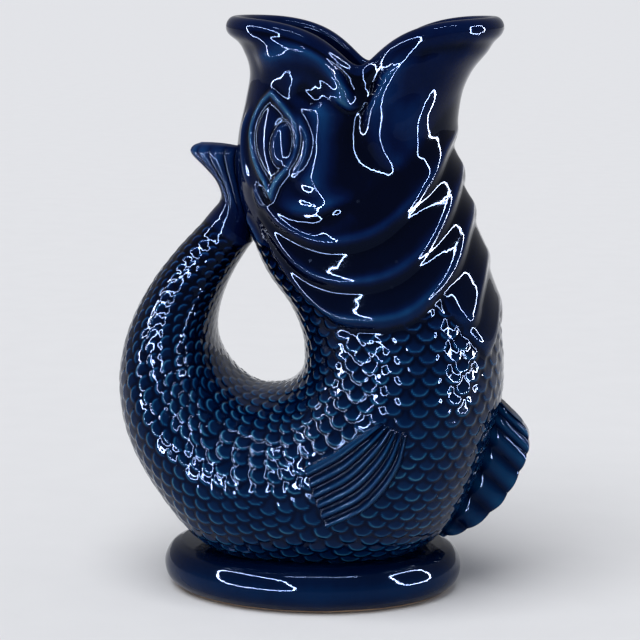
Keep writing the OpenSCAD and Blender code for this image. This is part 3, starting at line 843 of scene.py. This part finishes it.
def ring_mesh(name, rings, thin, closed=False, normals=None):
    """A mesh object from rings of points in millimetres, with the glaze's thinness at each point, and
    any painted shade and highlights that ride on it.
    """
    count, width = rings.shape[:2]
    points = rings.reshape(-1, 3)
    steps = count if closed else count - 1
    i, j = np.meshgrid(np.arange(steps), np.arange(width), indexing="ij")
    i, j = i.ravel(), j.ravel()
    ni, nj = (i + 1) % count, (j + 1) % width
    faces = np.stack([i * width + j, i * width + nj, ni * width + nj, ni * width + j], -1)
    map_rows = count + 2
    u = np.stack([j, j + 1, j + 1, j], -1) / width
    v = np.stack([i, i, i + 1, i + 1], -1) / map_rows
    inside_out = enclosed(points, faces) < 0
    if inside_out:
        faces, u, v = faces[:, ::-1], u[:, ::-1], v[:, ::-1]
    corners = [faces.ravel()]
    maps = [np.stack([u, v], -1).reshape(-1, 2)]
    starts = [np.arange(0, faces.size, 4)]
    if not closed:
        turn = np.radians(np.arange(width) * 360 / width)
        disc = 0.4 / map_rows * np.stack([np.cos(turn), np.sin(turn)], -1)
        for k, (row, reverse) in enumerate([(0, not inside_out), (count - 1, inside_out)]):
            order = np.arange(width)[::-1] if reverse else np.arange(width)
            corners.append(row * width + order)
            maps.append(np.array([0.25 + 0.5 * k, 1 - 0.5 / map_rows]) + disc[order])
            starts.append(np.array([faces.size + k * width]))
    corners, maps, starts = np.concatenate(corners), np.concatenate(maps), np.concatenate(starts)
    mesh = bpy.data.meshes.new(name)
    mesh.vertices.add(len(points))
    mesh.vertices.foreach_set("co", (points.ravel() * MM).astype(np.float32))
    mesh.loops.add(len(corners))
    mesh.loops.foreach_set("vertex_index", corners.astype(np.int32))
    mesh.polygons.add(len(starts))
    mesh.polygons.foreach_set("loop_start", starts.astype(np.int32))
    mesh.update(calc_edges=True)
    mesh.polygons.foreach_set("use_smooth", np.arange(len(starts)) < len(faces))
    # glaze_thinness holds the glaze's depth together with the painted shade and highlights set on it
    attribute = mesh.attributes.new("glaze_thinness", "FLOAT", "POINT")
    attribute.data.foreach_set("value", thin.reshape(-1).astype(np.float32))
    layer = mesh.uv_layers.new(name="OFBake")
    layer.data.foreach_set("uv", maps.ravel().astype(np.float32))
    if normals is not None:
        mesh.normals_split_custom_set_from_vertices(normals.reshape(-1, 3).astype(np.float32))
    piece = bpy.data.objects.new(name, mesh)
    bpy.context.scene.collection.objects.link(piece)
    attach(piece, "root")
    print(name, "has", len(starts), "faces", "and was turned inside out" if inside_out else "")
    return piece


# %% [markdown]
# ## Cutting the skin into cast sections
# The fired jug is one shell, but it is kept here as five lengths, which meet at seams: the head, the
# throat, the belly in two halves, and the tail. This cell makes the lip that rolls from the outer
# skin over to the bore, and finds where a line first comes to the head, for the fin that leans on it.

# %% Sections
LIP_TURNS = np.arange(12, 180, 12)
BORE_START = LIP_START + 0.9


def lip_rings():
    """Rings that roll from the outer skin over to the bore."""
    found = []
    pushed = skin_normals[0] * relief[0][:, None]
    for t in np.radians(LIP_TURNS):
        ring = body(LIP_START, angles, LIP_T / 2 * (1 - np.cos(t)))
        ring = ring + pushed * (1 + np.cos(t)) / 2
        found.append(ring + [0, 0, LIP_RISE * np.sin(t)])
    return np.array(found)


def station_at(z):
    """Station of the head or throat that lies at height z."""
    fine = np.linspace(0, THROAT_END - 1, 1201)
    return np.interp(-z, -JUG_H * share_at(fine, OUTER_Z), fine)


def in_head(points, margin):
    """Above 1 where a point lies outside the head or the throat, grown by a margin."""
    s = station_at(points[..., 2])
    low = inner_end(s)[..., 0]
    high = outer_end(s)[..., 0]
    depth = JUG_D * share_at(s, DEPTH)
    across = np.abs((points[..., 0] - (low + high) / 2) / ((high - low) / 2 + margin))
    return across ** RING_POWER + np.abs(points[..., 1] / (depth + margin)) ** RING_POWER


def onto_head(points, way, margin):
    """Where lines that all go one way first come within a margin of the head."""
    def inside(far):
        return in_head(points + far[..., None] * way, margin) < 1

    return points + bisect(0, JUG_W / 6, points.shape[:-1], inside)[..., None] * way


lip = lip_rings()
print("lip:", len(lip), "rings, top at", round(float(lip[..., 2].max()), 1), "mm")

# %% [markdown]
# ## The tail turns into a fin
# The tail doesn't stop at the head: its last ring fans out. Ring by ring its outer end climbs along
# the curled outline of the fin, while its inner end slides up the back of the head, until the last
# ring is the crest. A row of the table gives a ring's outer end, the height of its inner end, its
# half thickness and its bow. Lengthwise grooves fan out with it.

# %% Fan of rings
FIN_SINK = -1.6
FIN_GROOVE = 0.7
FIN_LOBES = 6
FAN_RINGS = 150
FIN_THINNESS = 0.40
fan_rows = [
    [-0.255, 0.670, 0.610, 13.5, 0], [-0.244, 0.680, 0.632, 12.4, 0],
    [-0.239, 0.693, 0.655, 11.2, 0], [-0.244, 0.708, 0.676, 10.2, 0],
    [-0.257, 0.724, 0.698, 9.6, 0], [-0.276, 0.738, 0.720, 9.2, 0],
    [-0.296, 0.751, 0.739, 8.8, 0.2], [-0.309, 0.761, 0.753, 8.0, 0.5],
    [-0.313, 0.769, 0.763, 6.4, 0.9], [-0.305, 0.777, 0.771, 4.0, 0.9],
    [-0.287, 0.782, 0.775, 0.8, 0.5],
]
fan_t = np.linspace(0, len(fan_rows) - 1, FAN_RINGS)[:, None]
fan_left = np.stack([JUG_W * smooth(fan_rows, fan_t, 0), JUG_H * smooth(fan_rows, fan_t, 1)], -1)
fan_z = JUG_H * smooth(fan_rows, fan_t, 2)
start_right = inner_end(float(TAIL_END))
far_left = np.stack([np.full_like(fan_z, -JUG_W / 3), 0 * fan_z, fan_z], -1)
on_back = onto_head(far_left, np.array([1.0, 0, 0]), FIN_SINK)[..., 0]
fan_x = mix(start_right[0], on_back, ease(fan_t / 1.5))
fan_right = np.stack([fan_x, fan_z], -1)
turn = np.radians(angles)[None, :]
along = (1 + signed_power(np.cos(turn), 2 / RING_POWER)) / 2
across = -signed_power(np.sin(turn), 2 / RING_POWER)
place = mix(fan_right, fan_left, along[..., None])
half = smooth(fan_rows, fan_t, 3)
bow = smooth(fan_rows, fan_t, 4) * np.sin(np.pi * along)
fan = np.stack([place[..., 0], half * across, place[..., 1] + bow], -1)
flow = ease((fan_t - 1.2) / 2.5) * ease((len(fan_rows) - 1.15 - fan_t) / 3.2)
lobes = np.abs(np.cos(np.pi * (FIN_LOBES * np.abs(turn) / np.pi - 0.25))) ** 0.55
fan_relief = -FIN_GROOVE * flow * (1 - lobes)
fan = fan + normals_of(fan) * fan_relief[..., None]
fan_edge = ease((fan_t - 5) / 3) * along
fan_thin = np.clip(FIN_THINNESS + 0.5 * flow * (lobes - 0.6) + 0.30 * fan_edge, 0, 1)
print("tail fin:", len(fan), "rings, crest at", round(float(fan[..., 2].max()), 1), "mm")

# %% [markdown]
# ## Joining the sections
# Outer skin, lip and bore make one long loop of rings, and its normals are taken once over all of
# it. A section is a stretch of skin and the stretch of bore beside it. Two sections share the ring
# they meet at, with its points and its normals, so that no line shows. The bore is coarse, because
# it is only seen through the mouth.

# %% Join the sections
# painted shade: the bore's glaze is set a little darker than plain ground, as shade inside the jug
BORE_SHADE_TONE = 0.40
LIP_THINNESS = 0.48
bore_ends = [BORE_START] + seams[1:-1] + [TAIL_END - 1]
bore_sets = [spread(a, b, BORE_STEP) for a, b in zip(bore_ends[:-1], bore_ends[1:])]
bore_rows = np.concatenate([bore_sets[0]] + [r[1:] for r in bore_sets[1:]])
bore_seams = np.cumsum([0] + [len(r) - 1 for r in bore_sets])
bore = body(*np.meshgrid(bore_rows, angles, indexing="ij"), WALL)
outside = np.concatenate([glazed, fan[1:]])
outside_glaze_and_painted_light = np.concatenate([glaze_and_painted_light, fan_thin[1:]])
loop = np.concatenate([outside[::-1], lip, bore])
loop_normals = -normals_of(loop)
loop_glaze_and_painted_light = np.concatenate([
    outside_glaze_and_painted_light[::-1],
    np.full(lip.shape[:2], LIP_THINNESS),
    np.full(bore.shape[:2], BORE_SHADE_TONE),
])


def section(name, index):
    """One cast length of the jug, with its outer skin, its bore and the edges between."""
    last = seam_rows[index + 1]
    turn_row = len(outside)
    over = turn_row + (len(lip) if index == 0 else 0)
    into = turn_row + len(lip)
    picked = np.concatenate([
        np.arange(turn_row - 1 - last, turn_row - seam_rows[index]),
        np.arange(turn_row, over),
        np.arange(into + bore_seams[index], into + bore_seams[index + 1] + 1),
    ])
    return ring_mesh(name, loop[picked], loop_glaze_and_painted_light[picked], True, loop_normals[picked])


glazed_head = section("glazed_head", 0)
glazed_throat = section("glazed_throat", 1)
glazed_belly = section("glazed_belly", 2)
glazed_haunch = section("glazed_haunch", 3)
glazed_tail = section("glazed_tail", 4)
rings_of_fin = slice(0, len(fan))
glazed_tail_fin = ring_mesh("glazed_tail_fin", loop[rings_of_fin], loop_glaze_and_painted_light[rings_of_fin],
                            normals=loop_normals[rings_of_fin])
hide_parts("head_shell", "gill_cover", "eye_near", "eye_far")
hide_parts("throat_shell", "gill_fold_upper", "gill_fold_lower",
            "throat_leaf_upper", "throat_leaf_lower")
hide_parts("belly_shell")
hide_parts("belly_shell")
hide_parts("tail_handle")
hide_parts("tail_fin")

# %% [markdown]
# ## Side fins
# A side fin lies flat on the belly like a fan. Its outline is two curves in the middle plane, its
# root at the front, and its ribs run between them. The belly's own depth under each point carries it,
# and its rim is rounded down to the skin all the way round. It stands too proud to be relief, so it
# is a closed sheet of its own whose underside is sunk into the belly.

# %% Side fins
SLIP = 0.3
SIDE_FIN_T = 4.4
SIDE_FIN_GROOVE = 1.9
SIDE_FIN_RIBS = 6
SIDE_FIN_POWER = 1.1
SIDE_FIN_FIRST = 0.03
SIDE_FIN_ROOT = 0.55
SIDE_FIN_SINK = 1.5
SIDE_FIN_SET = 0.25
SIDE_FIN_FLOOR = 0.4
SIDE_FIN_L = 78
SIDE_FIN_ROUND = 2.4
SIDE_FIN_GRID = (130, 110)
SIDE_FIN_THINNESS = 0.3
side_fin_upper = [[0.172, 0.342], [0.118, 0.317], [0.062, 0.288], [-0.003, 0.260]]
side_fin_lower = [[0.236, 0.322], [0.215, 0.258], [0.150, 0.194], [0.048, 0.153]]


def belly_side(x, z):
    """Half depth of the belly over a point of the middle plane."""
    place = np.stack([x, z], -1)

    def past(s):
        line = outer_end(s) - inner_end(s)
        away = place - inner_end(s)
        return line[..., 0] * away[..., 1] - line[..., 1] * away[..., 0] >= 0

    s = bisect(THROAT_END, BELLY_END, x.shape, past)
    whole = np.linalg.norm(outer_end(s) - inner_end(s), axis=-1)
    share = 2 * np.linalg.norm(place - inner_end(s), axis=-1) / whole - 1
    inside = np.clip(1 - np.abs(share) ** RING_POWER, 0, 1)
    return JUG_D * share_at(s, DEPTH) * inside ** (1 / RING_POWER)


def sheet_loop(top, under):
    """Closed rings round a sheet: each row of the top, then the same row of the underside backwards."""
    return np.concatenate([top, under[:, ::-1]], axis=1)


def side_fin(name, side):
    """The fin on the near side, side -1, or the far side, side 1."""
    # u runs from the root to the trailing edge, and v from the upper curve to the lower one
    u, v = np.meshgrid(*(np.linspace(0, 1, n) for n in SIDE_FIN_GRID), indexing="ij")
    t = u * (len(side_fin_upper) - 1)
    x = JUG_W * mix(smooth(side_fin_upper, t, 0), smooth(side_fin_lower, t, 0), v)
    z = JUG_H * mix(smooth(side_fin_upper, t, 1), smooth(side_fin_lower, t, 1), v)
    rib = (0.5 - 0.5 * np.cos(2 * np.pi * SIDE_FIN_RIBS * v)) ** SIDE_FIN_POWER
    edge = hump((v - SIDE_FIN_FIRST) * 40, 1.4)
    rib = np.maximum(rib, 0.9 * edge)
    width = np.hypot(x[:, -1] - x[:, 0], z[:, -1] - z[:, 0])[:, None]
    rim = np.minimum(np.minimum(v, 1 - v) * width, np.minimum(u, 1 - u) * SIDE_FIN_L)
    rounded = np.sqrt(dome(1 - np.clip(rim / SIDE_FIN_ROUND, 0, 1)))
    height = mix(SIDE_FIN_ROOT, 1, ease(3 * u)) * SIDE_FIN_T - SIDE_FIN_GROOVE * (1 - rib)
    lift = rounded * height - SIDE_FIN_SET
    depth = belly_side(x, z)
    top = np.stack([x, side * (depth + lift - (1 - rounded) * SIDE_FIN_SINK), z], -1)
    under = np.stack([x, side * (depth - SIDE_FIN_SINK - SIDE_FIN_FLOOR), z], -1)
    ends = ease(u * 9) * ease((1 - u) * 25)
    thin = np.clip(mix(SIDE_FIN_THINNESS, -0.12 + 0.78 * rib + 0.08 * edge, ends), 0, 1)
    rings = sheet_loop(top, under)
    shades = sheet_loop(thin, np.full_like(thin, SIDE_FIN_THINNESS))
    if side < 0:
        rings, shades = rings[:, ::-1], shades[:, ::-1]
    return ring_mesh(name, rings, shades)


glazed_side_fin_near = side_fin("glazed_side_fin_near", -1)
glazed_side_fin_far = side_fin("glazed_side_fin_far", 1)
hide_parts("side_fin_near")
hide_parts("side_fin_far")

# %% [markdown]
# ## Belly fin
# The belly fin is a row of soft rays that leave the keel at one slope. A section across one ray is a
# long rounded tongue, and the rays swell and sink along the row. Rays could be made one by one and
# joined, but one loft along the keel keeps the web between them. Its table gives, ray by ray, the
# station that the ray leaves from and its length as a share of the jug's width.

# %% Belly fin
BELLY_FIN_T = 8.4
BELLY_FIN_GROOVE = 1.5
BELLY_FIN_RIBS = 9
BELLY_FIN_SLOPE = math.radians(-42)
BELLY_FIN_ROOT = 2.5
BELLY_FIN_SWELL = 0.8
BELLY_FIN_SCALLOP = 0.7
BELLY_FIN_POWER = 0.8
belly_fin_rays = [[13.15, 0.030], [13.25, 0.080], [13.6, 0.100], [14, 0.104], [14.5, 0.094],
                  [15, 0.078], [15.5, 0.052], [15.85, 0.022], [15.95, 0.006]]
u = np.linspace(0, 1, 260)[:, None]
across = np.linspace(-np.pi, np.pi, 64, endpoint=False)[None, :]
t = u * (len(belly_fin_rays) - 1)
station = smooth(belly_fin_rays, t, 0)
reach = JUG_W * smooth(belly_fin_rays, t, 1)
rib = np.abs(np.sin(np.pi * BELLY_FIN_RIBS * u)) ** BELLY_FIN_POWER
root = outer_end(station[:, 0])
along_ray = np.clip(0.5 + 0.62 * signed_power(np.cos(across), 0.9), -0.12, 1)
side = signed_power(np.sin(across), 0.75)
groove = BELLY_FIN_GROOVE * (1 - rib) * np.clip(along_ray * 2.5, 0, 1)
half = BELLY_FIN_T / 2 - groove + BELLY_FIN_SWELL * hump(u - 0.06, 0.06)
tip_in = BELLY_FIN_SCALLOP * (1 - rib) * np.clip(2 * along_ray - 1, 0, 1)
away = SLIP + reach * along_ray - BELLY_FIN_ROOT * (along_ray < 0) - tip_in
fin = np.stack([
    root[:, :1] + away * math.cos(BELLY_FIN_SLOPE),
    side * half,
    root[:, 1:] + away * math.sin(BELLY_FIN_SLOPE),
], -1)
fin_thin = np.clip(0.04 + 0.56 * rib + 0.1 * np.clip(3 * along_ray - 2, 0, 1), 0, 1)
glazed_belly_fin = ring_mesh("glazed_belly_fin", fin, fin_thin)
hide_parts("belly_fin")

# %% [markdown]
# ## Foot
# The foot is a fat oval ring with a shallow recess. Its outline, from the top round to the ground,
# is a table of how far in and how high each place lies, in shares of the foot's height. Its glaze
# stops just short of the ground, so that the jug doesn't stick to the kiln shelf, and leaves a thin
# line of bare clay. Spinning the outline would make a round foot, so it is swept round an oval.

# %% Foot
FOOT_W = 129.0
FOOT_D = 101.0
FOOT_TOP = 1.02
RECESS = 5.0
TOP_IN = 30.0
RECESS_IN = 45.0
FOOT_SHADE_TONE = 0.14
FOOT_ROLL_SHEEN_TONE = 0.28
UNDER_TONE = 0.3
foot_mid = -0.024 * JUG_W
foot_side = [[0.42, 1.02], [0.36, 1], [0.17, 0.90], [0.04, 0.70], [0, 0.48], [0.06, 0.24],
             [0.24, 0.06], [0.38, 0]]
t = np.linspace(0, len(foot_side) - 1, 64)
inset = FOOT_H * smooth(foot_side, t, 0)
height = FOOT_H * np.clip(smooth(foot_side, t, 1), 0, FOOT_TOP)
under_in = FOOT_H * np.array([0.93, 1.08])
inset = np.concatenate([[TOP_IN], inset, under_in, [TOP_IN, RECESS_IN]])
height = np.concatenate([[FOOT_H * FOOT_TOP], height, [0, RECESS, RECESS, RECESS]])
round_foot = np.linspace(0, 2 * np.pi, 320, endpoint=False)[None, :]
foot_rings = np.stack([
    foot_mid + (FOOT_W / 2 - inset[:, None]) * np.cos(round_foot),
    (FOOT_D / 2 - inset[:, None]) * np.sin(round_foot),
    height[:, None] + 0 * round_foot,
], -1)
# painted shade and reflection: the foot's glaze is set much darker than plain ground, darkest at its top
# under the belly and near the ground; the paler band on its roll is partly thin glaze and partly a
# painted reflection
outline_tones = FOOT_SHADE_TONE + FOOT_ROLL_SHEEN_TONE * hump(t - 4.0, 1.4)
foot_tones = np.concatenate([[FOOT_SHADE_TONE], outline_tones, np.full(4, UNDER_TONE)])
foot_glaze_and_painted_light = foot_tones[:, None] + 0 * round_foot
glazed_foot = ring_mesh("glazed_foot", foot_rings, foot_glaze_and_painted_light)
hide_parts("foot")

# %% [markdown]
# ## A small language for materials
# A material is a graph of nodes, and graphs are hard to read as code. `Wire` wraps one output of a
# node, so that `0.5 + 2 * noise` adds its Math nodes by itself. Any other node comes from `node`:
# its type, its settings, and what goes into its sockets.

# %% Wire
class Wire:
    """One output of a node, which sums and products with other wires or plain numbers extend."""

    def __init__(self, tree, output):
        self.tree = tree
        self.output = output

    def node(self, kind, settings=None, sockets=None, output=0):
        """A new node of any type: settings first, then values or wires for its sockets."""
        made = self.tree.nodes.new(kind)
        for name, value in (settings or {}).items():
            if name == "stops":
                shape_ramp(made.color_ramp, value)
            else:
                setattr(made, name, value)
        for name, value in (sockets or {}).items():
            plug(self.tree, socket_named(made.inputs, name), value)
        return Wire(self.tree, socket_named(made.outputs, output))

    def maths(self, operation, a, b):
        return self.node("ShaderNodeMath", {"operation": operation}, {0: a, 1: b})

    def __add__(self, other):
        return self.maths("ADD", self, other)

    def __radd__(self, other):
        return self.maths("ADD", other, self)

    def __sub__(self, other):
        return self.maths("SUBTRACT", self, other)

    def __rsub__(self, other):
        return self.maths("SUBTRACT", other, self)

    def __mul__(self, other):
        return self.maths("MULTIPLY", self, other)

    def __rmul__(self, other):
        return self.maths("MULTIPLY", other, self)

    def step(self, low, high):
        """A soft step from 0 to 1 as this value goes from low to high."""
        return self.node("ShaderNodeMapRange", {"interpolation_type": "SMOOTHSTEP", "clamp": True},
                         {"Value": self, "From Min": low, "From Max": high})

    def ramp(self, stops):
        """A colour for this value, read off a row of (place, colour) stops."""
        return self.node("ShaderNodeValToRGB", {"stops": stops}, {"Fac": self})

    def blend(self, a, b):
        """Colour a where this value is 0 and colour b where it is 1."""
        return self.node("ShaderNodeMix", {"data_type": "RGBA"},
                         {"Factor_Float": self, "A_Color": a, "B_Color": b}, "Result_Color")

    def noise(self, scale, detail=2.0, roughness=0.5):
        """Cloudy noise from 0 to 1, with this wire as its place; scale counts blobs per metre."""
        sockets = {"Vector": self, "Scale": scale, "Detail": detail, "Roughness": roughness}
        return self.node("ShaderNodeTexNoise", {}, sockets, "Fac")


def socket_named(sockets, name):
    """A socket by its place, its identifier or its name."""
    if isinstance(name, int):
        return sockets[name]
    for socket in sockets:
        if socket.identifier == name:
            return socket
    return sockets[name]


def plug(tree, socket, value):
    """Puts a wire, a colour or any other value into a socket."""
    if isinstance(value, Wire):
        tree.links.new(value.output, socket)
    elif isinstance(value, tuple) and len(value) == 3 and socket.type == "RGBA":
        socket.default_value = (*value, 1)
    else:
        socket.default_value = value


def shape_ramp(ramp, stops):
    """Gives a colour ramp these stops."""
    while len(ramp.elements) < len(stops):
        ramp.elements.new(1)
    for element, (place, colour) in zip(ramp.elements, stops):
        element.position = place
        element.color = (*colour, 1)


def start_material(name, speculars):
    """A new material, and a wire for the place on the object in metres."""
    material = bpy.data.materials.new(name)
    material.use_nodes = True
    tree = material.node_tree
    place = Wire(tree, tree.nodes.new("ShaderNodeTexCoord").outputs["Object"])
    feed(place, speculars)
    return material, place


def feed(place, values):
    """Plugs values or wires into the sockets of a material's shader."""
    shader = place.tree.nodes["Principled BSDF"]
    for socket, value in values.items():
        plug(place.tree, shader.inputs[socket], value)


# %% [markdown]
# ## The glaze
# The skin's own `glaze_thinness` picks the colour: black where the glaze pools, navy on plain
# ground, a greener blue on thin edges. That number also carries the painted shade and highlights
# set on the skin, and the palest stops are partly painted highlight for the bright scale rims.
# Cobalt glazes mottle, so cloudy noise shifts the thickness a little, and the lower part of the jug
# is coloured more teal. The surface isn't quite flat: an orange-peel ripple and a few pinholes keep
# reflections lively. A painted picture could give the same colours, but most of these follow the
# relief by themselves.

# %% Cobalt glaze
# The palest stop of each ramp is partly a painted highlight, for the bright scale rims.
NAVY = [
    (0.00, (0.0002, 0.0004, 0.003)),
    (0.30, (0.0004, 0.0010, 0.008)),
    (0.46, (0.0008, 0.0040, 0.031)),
    (0.62, (0.0020, 0.0135, 0.068)),
    (0.80, (0.0045, 0.0380, 0.135)),
    (1.00, (0.0260, 0.1000, 0.200)),
]
TEAL = [
    (0.00, (0.0002, 0.0020, 0.014)),
    (0.30, (0.0003, 0.0056, 0.030)),
    (0.46, (0.0006, 0.0130, 0.056)),
    (0.62, (0.0020, 0.0300, 0.095)),
    (0.80, (0.0065, 0.0660, 0.150)),
    (1.00, (0.0420, 0.1500, 0.230)),
]
GLAZE_GLOSS = {"Specular IOR Level": 0.15, "Specular Tint": (0.36, 0.53, 1.0, 1.0)}
CLOUDS = 38
STREAKS = 160
ORANGE_PEEL = 330
PINHOLES = 85
CLOUD_TONE = 0.16
STREAK_TONE = 0.14
TEAL_BELOW = 0.085
NAVY_ABOVE = 0.19


def glazed_look(place):
    """The glaze's colour, its roughness and the height of its ripple."""
    thin = place.node("ShaderNodeAttribute", {"attribute_name": "glaze_thinness"}, {}, "Fac")
    clouds = place.noise(CLOUDS, 3)
    drawn = {"Vector": place, "Scale": (1.0, 1.0, 0.25)}
    streaks = place.node("ShaderNodeMapping", {}, drawn).noise(STREAKS, 3)
    depth = thin + CLOUD_TONE * (clouds - 0.5) + STREAK_TONE * (streaks - 0.5)
    height = place.node("ShaderNodeSeparateXYZ", {}, {"Vector": place}, "Z")
    low = 1 - (height + 0.05 * clouds).step(TEAL_BELOW, NAVY_ABOVE)
    colour = low.blend(depth.ramp(NAVY), depth.ramp(TEAL))
    dots = {"Vector": place, "Scale": PINHOLES}
    pits = place.node("ShaderNodeTexVoronoi", {"feature": "F1"}, dots, "Distance")
    pinholes = 1 - pits.step(0.05, 0.10)
    roughness = 0.025 + 0.035 * clouds + 0.2 * pinholes
    ripple = place.noise(ORANGE_PEEL, 1) - 0.5 * pinholes
    return colour, roughness, ripple


def surface(place, colour, roughness, height):
    """Feeds a colour, a roughness and a fine relief to a material's shader."""
    sockets = {"Height": height, "Strength": 0.06, "Distance": 0.0006}
    bump = place.node("ShaderNodeBump", {}, sockets, "Normal")
    feed(place, {"Base Color": colour, "Roughness": roughness, "Normal": bump})


glaze, place = start_material("cobalt_glaze", GLAZE_GLOSS)
surface(place, *glazed_look(place))
for piece in (glazed_head, glazed_throat, glazed_belly, glazed_haunch, glazed_tail,
              glazed_side_fin_near, glazed_side_fin_far, glazed_belly_fin, glazed_tail_fin):
    piece.data.materials.append(glaze)
print("glaze nodes:", len(glaze.node_tree.nodes))

# %% [markdown]
# ## The foot
# The foot wears the same glaze, which was wiped off near the ground with a wet sponge. The wiped
# line wanders a little. Below it the bare body is tan, matt and finely sanded. Two materials could
# meet at an edge loop, but one material with a mask by height lets the line wander.

# %% Foot glaze and clay
WIPED_FROM = 0.0006
WIPED_TO = 0.0012
CLAY_ROUGHNESS = 0.8
CLAY = [(0.3, (0.33, 0.20, 0.11)), (0.7, (0.52, 0.36, 0.22))]
foot_look, place = start_material("foot_glaze", GLAZE_GLOSS)
colour, roughness, ripple = glazed_look(place)
height = place.node("ShaderNodeSeparateXYZ", {}, {"Vector": place}, "Z")
wander = 0.0011 * place.noise(60, 2)
glossy = (height - wander).step(WIPED_FROM, WIPED_TO)
sand = place.noise(2600, 2)
surface(
    place,
    glossy.blend(sand.ramp(CLAY), colour),
    CLAY_ROUGHNESS - glossy * (CLAY_ROUGHNESS - roughness),
    glossy * ripple + (1 - glossy) * sand,
)
glazed_foot.data.materials.append(foot_look)
print("foot nodes:", len(foot_look.node_tree.nodes))

# %% [markdown]
# ## The floor
# A plain pale floor that reaches past the top of the picture, so that it is also the background. A
# backdrop of colour alone would catch no shadow, and the jug would seem to float.

# %% Floor
bpy.ops.mesh.primitive_plane_add(size=60, location=(0, 0, 0))
floor = bpy.context.object
floor.name = "floor"
paper, place = start_material("pale_paper", {"Specular IOR Level": 0.0, "Roughness": 0.9})
grain = place.noise(40, 2).ramp([(0.0, (0.735, 0.74, 0.76)), (1.0, (0.765, 0.77, 0.79))])
feed(place, {"Base Color": grain})
floor.data.materials.append(paper)
print("floor:", [round(v, 1) for v in floor.dimensions])

# %% [markdown]
# ## The light
# A glossy dark glaze shows its lamps rather than their light. Two frames of thin tubes stand left
# and right of the jug, and each mirrors in it as a bright outline with a dark middle. One more tube
# hangs overhead. They are lights for reflections only. The plain level comes from one large soft
# lamp overhead and from a dim sky, neither of which may show as a white patch in the glaze.

# %% Lights
AIM = Vector((0, 0, 0.12))
TUBE = 0.011
TUBE_RADIANCE = 330.0
FRAME_LOW = 0.004
FRAME_HIGH = 0.60
FRAME_AWAY = 0.60
FRAME_SIDES = 12
CORNER_POWER = 0.6
OVERHEAD_STRENGTH = 2.4
SKY_STRENGTH = 0.35


def around(angle, distance, height):
    """A place around the jug, angle degrees to the right of the camera."""
    turn = camera_turn + math.radians(angle)
    return Vector((math.sin(turn) * distance, -math.cos(turn) * distance, height))


def tube(name, start, end):
    """A thin area light from start to end that faces the jug."""
    data = bpy.data.lights.new(name, "AREA")
    data.shape = "RECTANGLE"
    data.size = TUBE
    data.size_y = (end - start).length
    data.energy = 4 * TUBE_RADIANCE * data.size * data.size_y
    light = bpy.data.objects.new(name, data)
    middle = (start + end) / 2
    along = (end - start).normalized()
    across = along.cross((middle - AIM).normalized()).normalized()
    back = across.cross(along)
    rows_of_matrix = [[across[k], along[k], back[k], middle[k]] for k in range(3)]
    light.matrix_world = Matrix(rows_of_matrix + [[0, 0, 0, 1]])
    light.visible_diffuse = False
    light.visible_camera = False
    bpy.context.scene.collection.objects.link(light)


def lamp_frame(name, first, last, lean):
    """Tubes end to end round a window with rounded corners, which leans so many degrees at its top."""
    corners = []
    for n in range(FRAME_SIDES):
        t = 2 * math.pi * (n + 0.5) / FRAME_SIDES
        across = signed_power(math.cos(t), CORNER_POWER)
        up = signed_power(math.sin(t), CORNER_POWER)
        angle = (first + last) / 2 + (last - first) / 2 * across + lean / 2 * up
        height = (FRAME_LOW + FRAME_HIGH) / 2 + (FRAME_HIGH - FRAME_LOW) / 2 * up
        corners.append(around(angle, FRAME_AWAY, height))
    for n in range(FRAME_SIDES):
        tube(name + "_" + str(n), corners[n], corners[(n + 1) % FRAME_SIDES])


lamp_frame("frame_left", -74, -20, -20)
lamp_frame("frame_right", 52, 86, 0)
tube("top_tube", around(-35, 0.9, 1.5), around(35, 0.9, 1.5))

sun_data = bpy.data.lights.new("overhead", "SUN")
sun_data.energy = OVERHEAD_STRENGTH
sun_data.angle = math.radians(50)
sun = bpy.data.objects.new("overhead", sun_data)
sun.rotation_euler = (math.radians(24), math.radians(-8), 0)
sun.visible_glossy = False
bpy.context.scene.collection.objects.link(sun)

sky = bpy.data.worlds.new("sky")
bpy.context.scene.world = sky
sky.use_nodes = True
background = sky.node_tree.nodes["Background"]
background.inputs["Color"].default_value = (0.93, 0.95, 1.0, 1)
background.inputs["Strength"].default_value = SKY_STRENGTH
bpy.context.scene.view_settings.view_transform = "Standard"
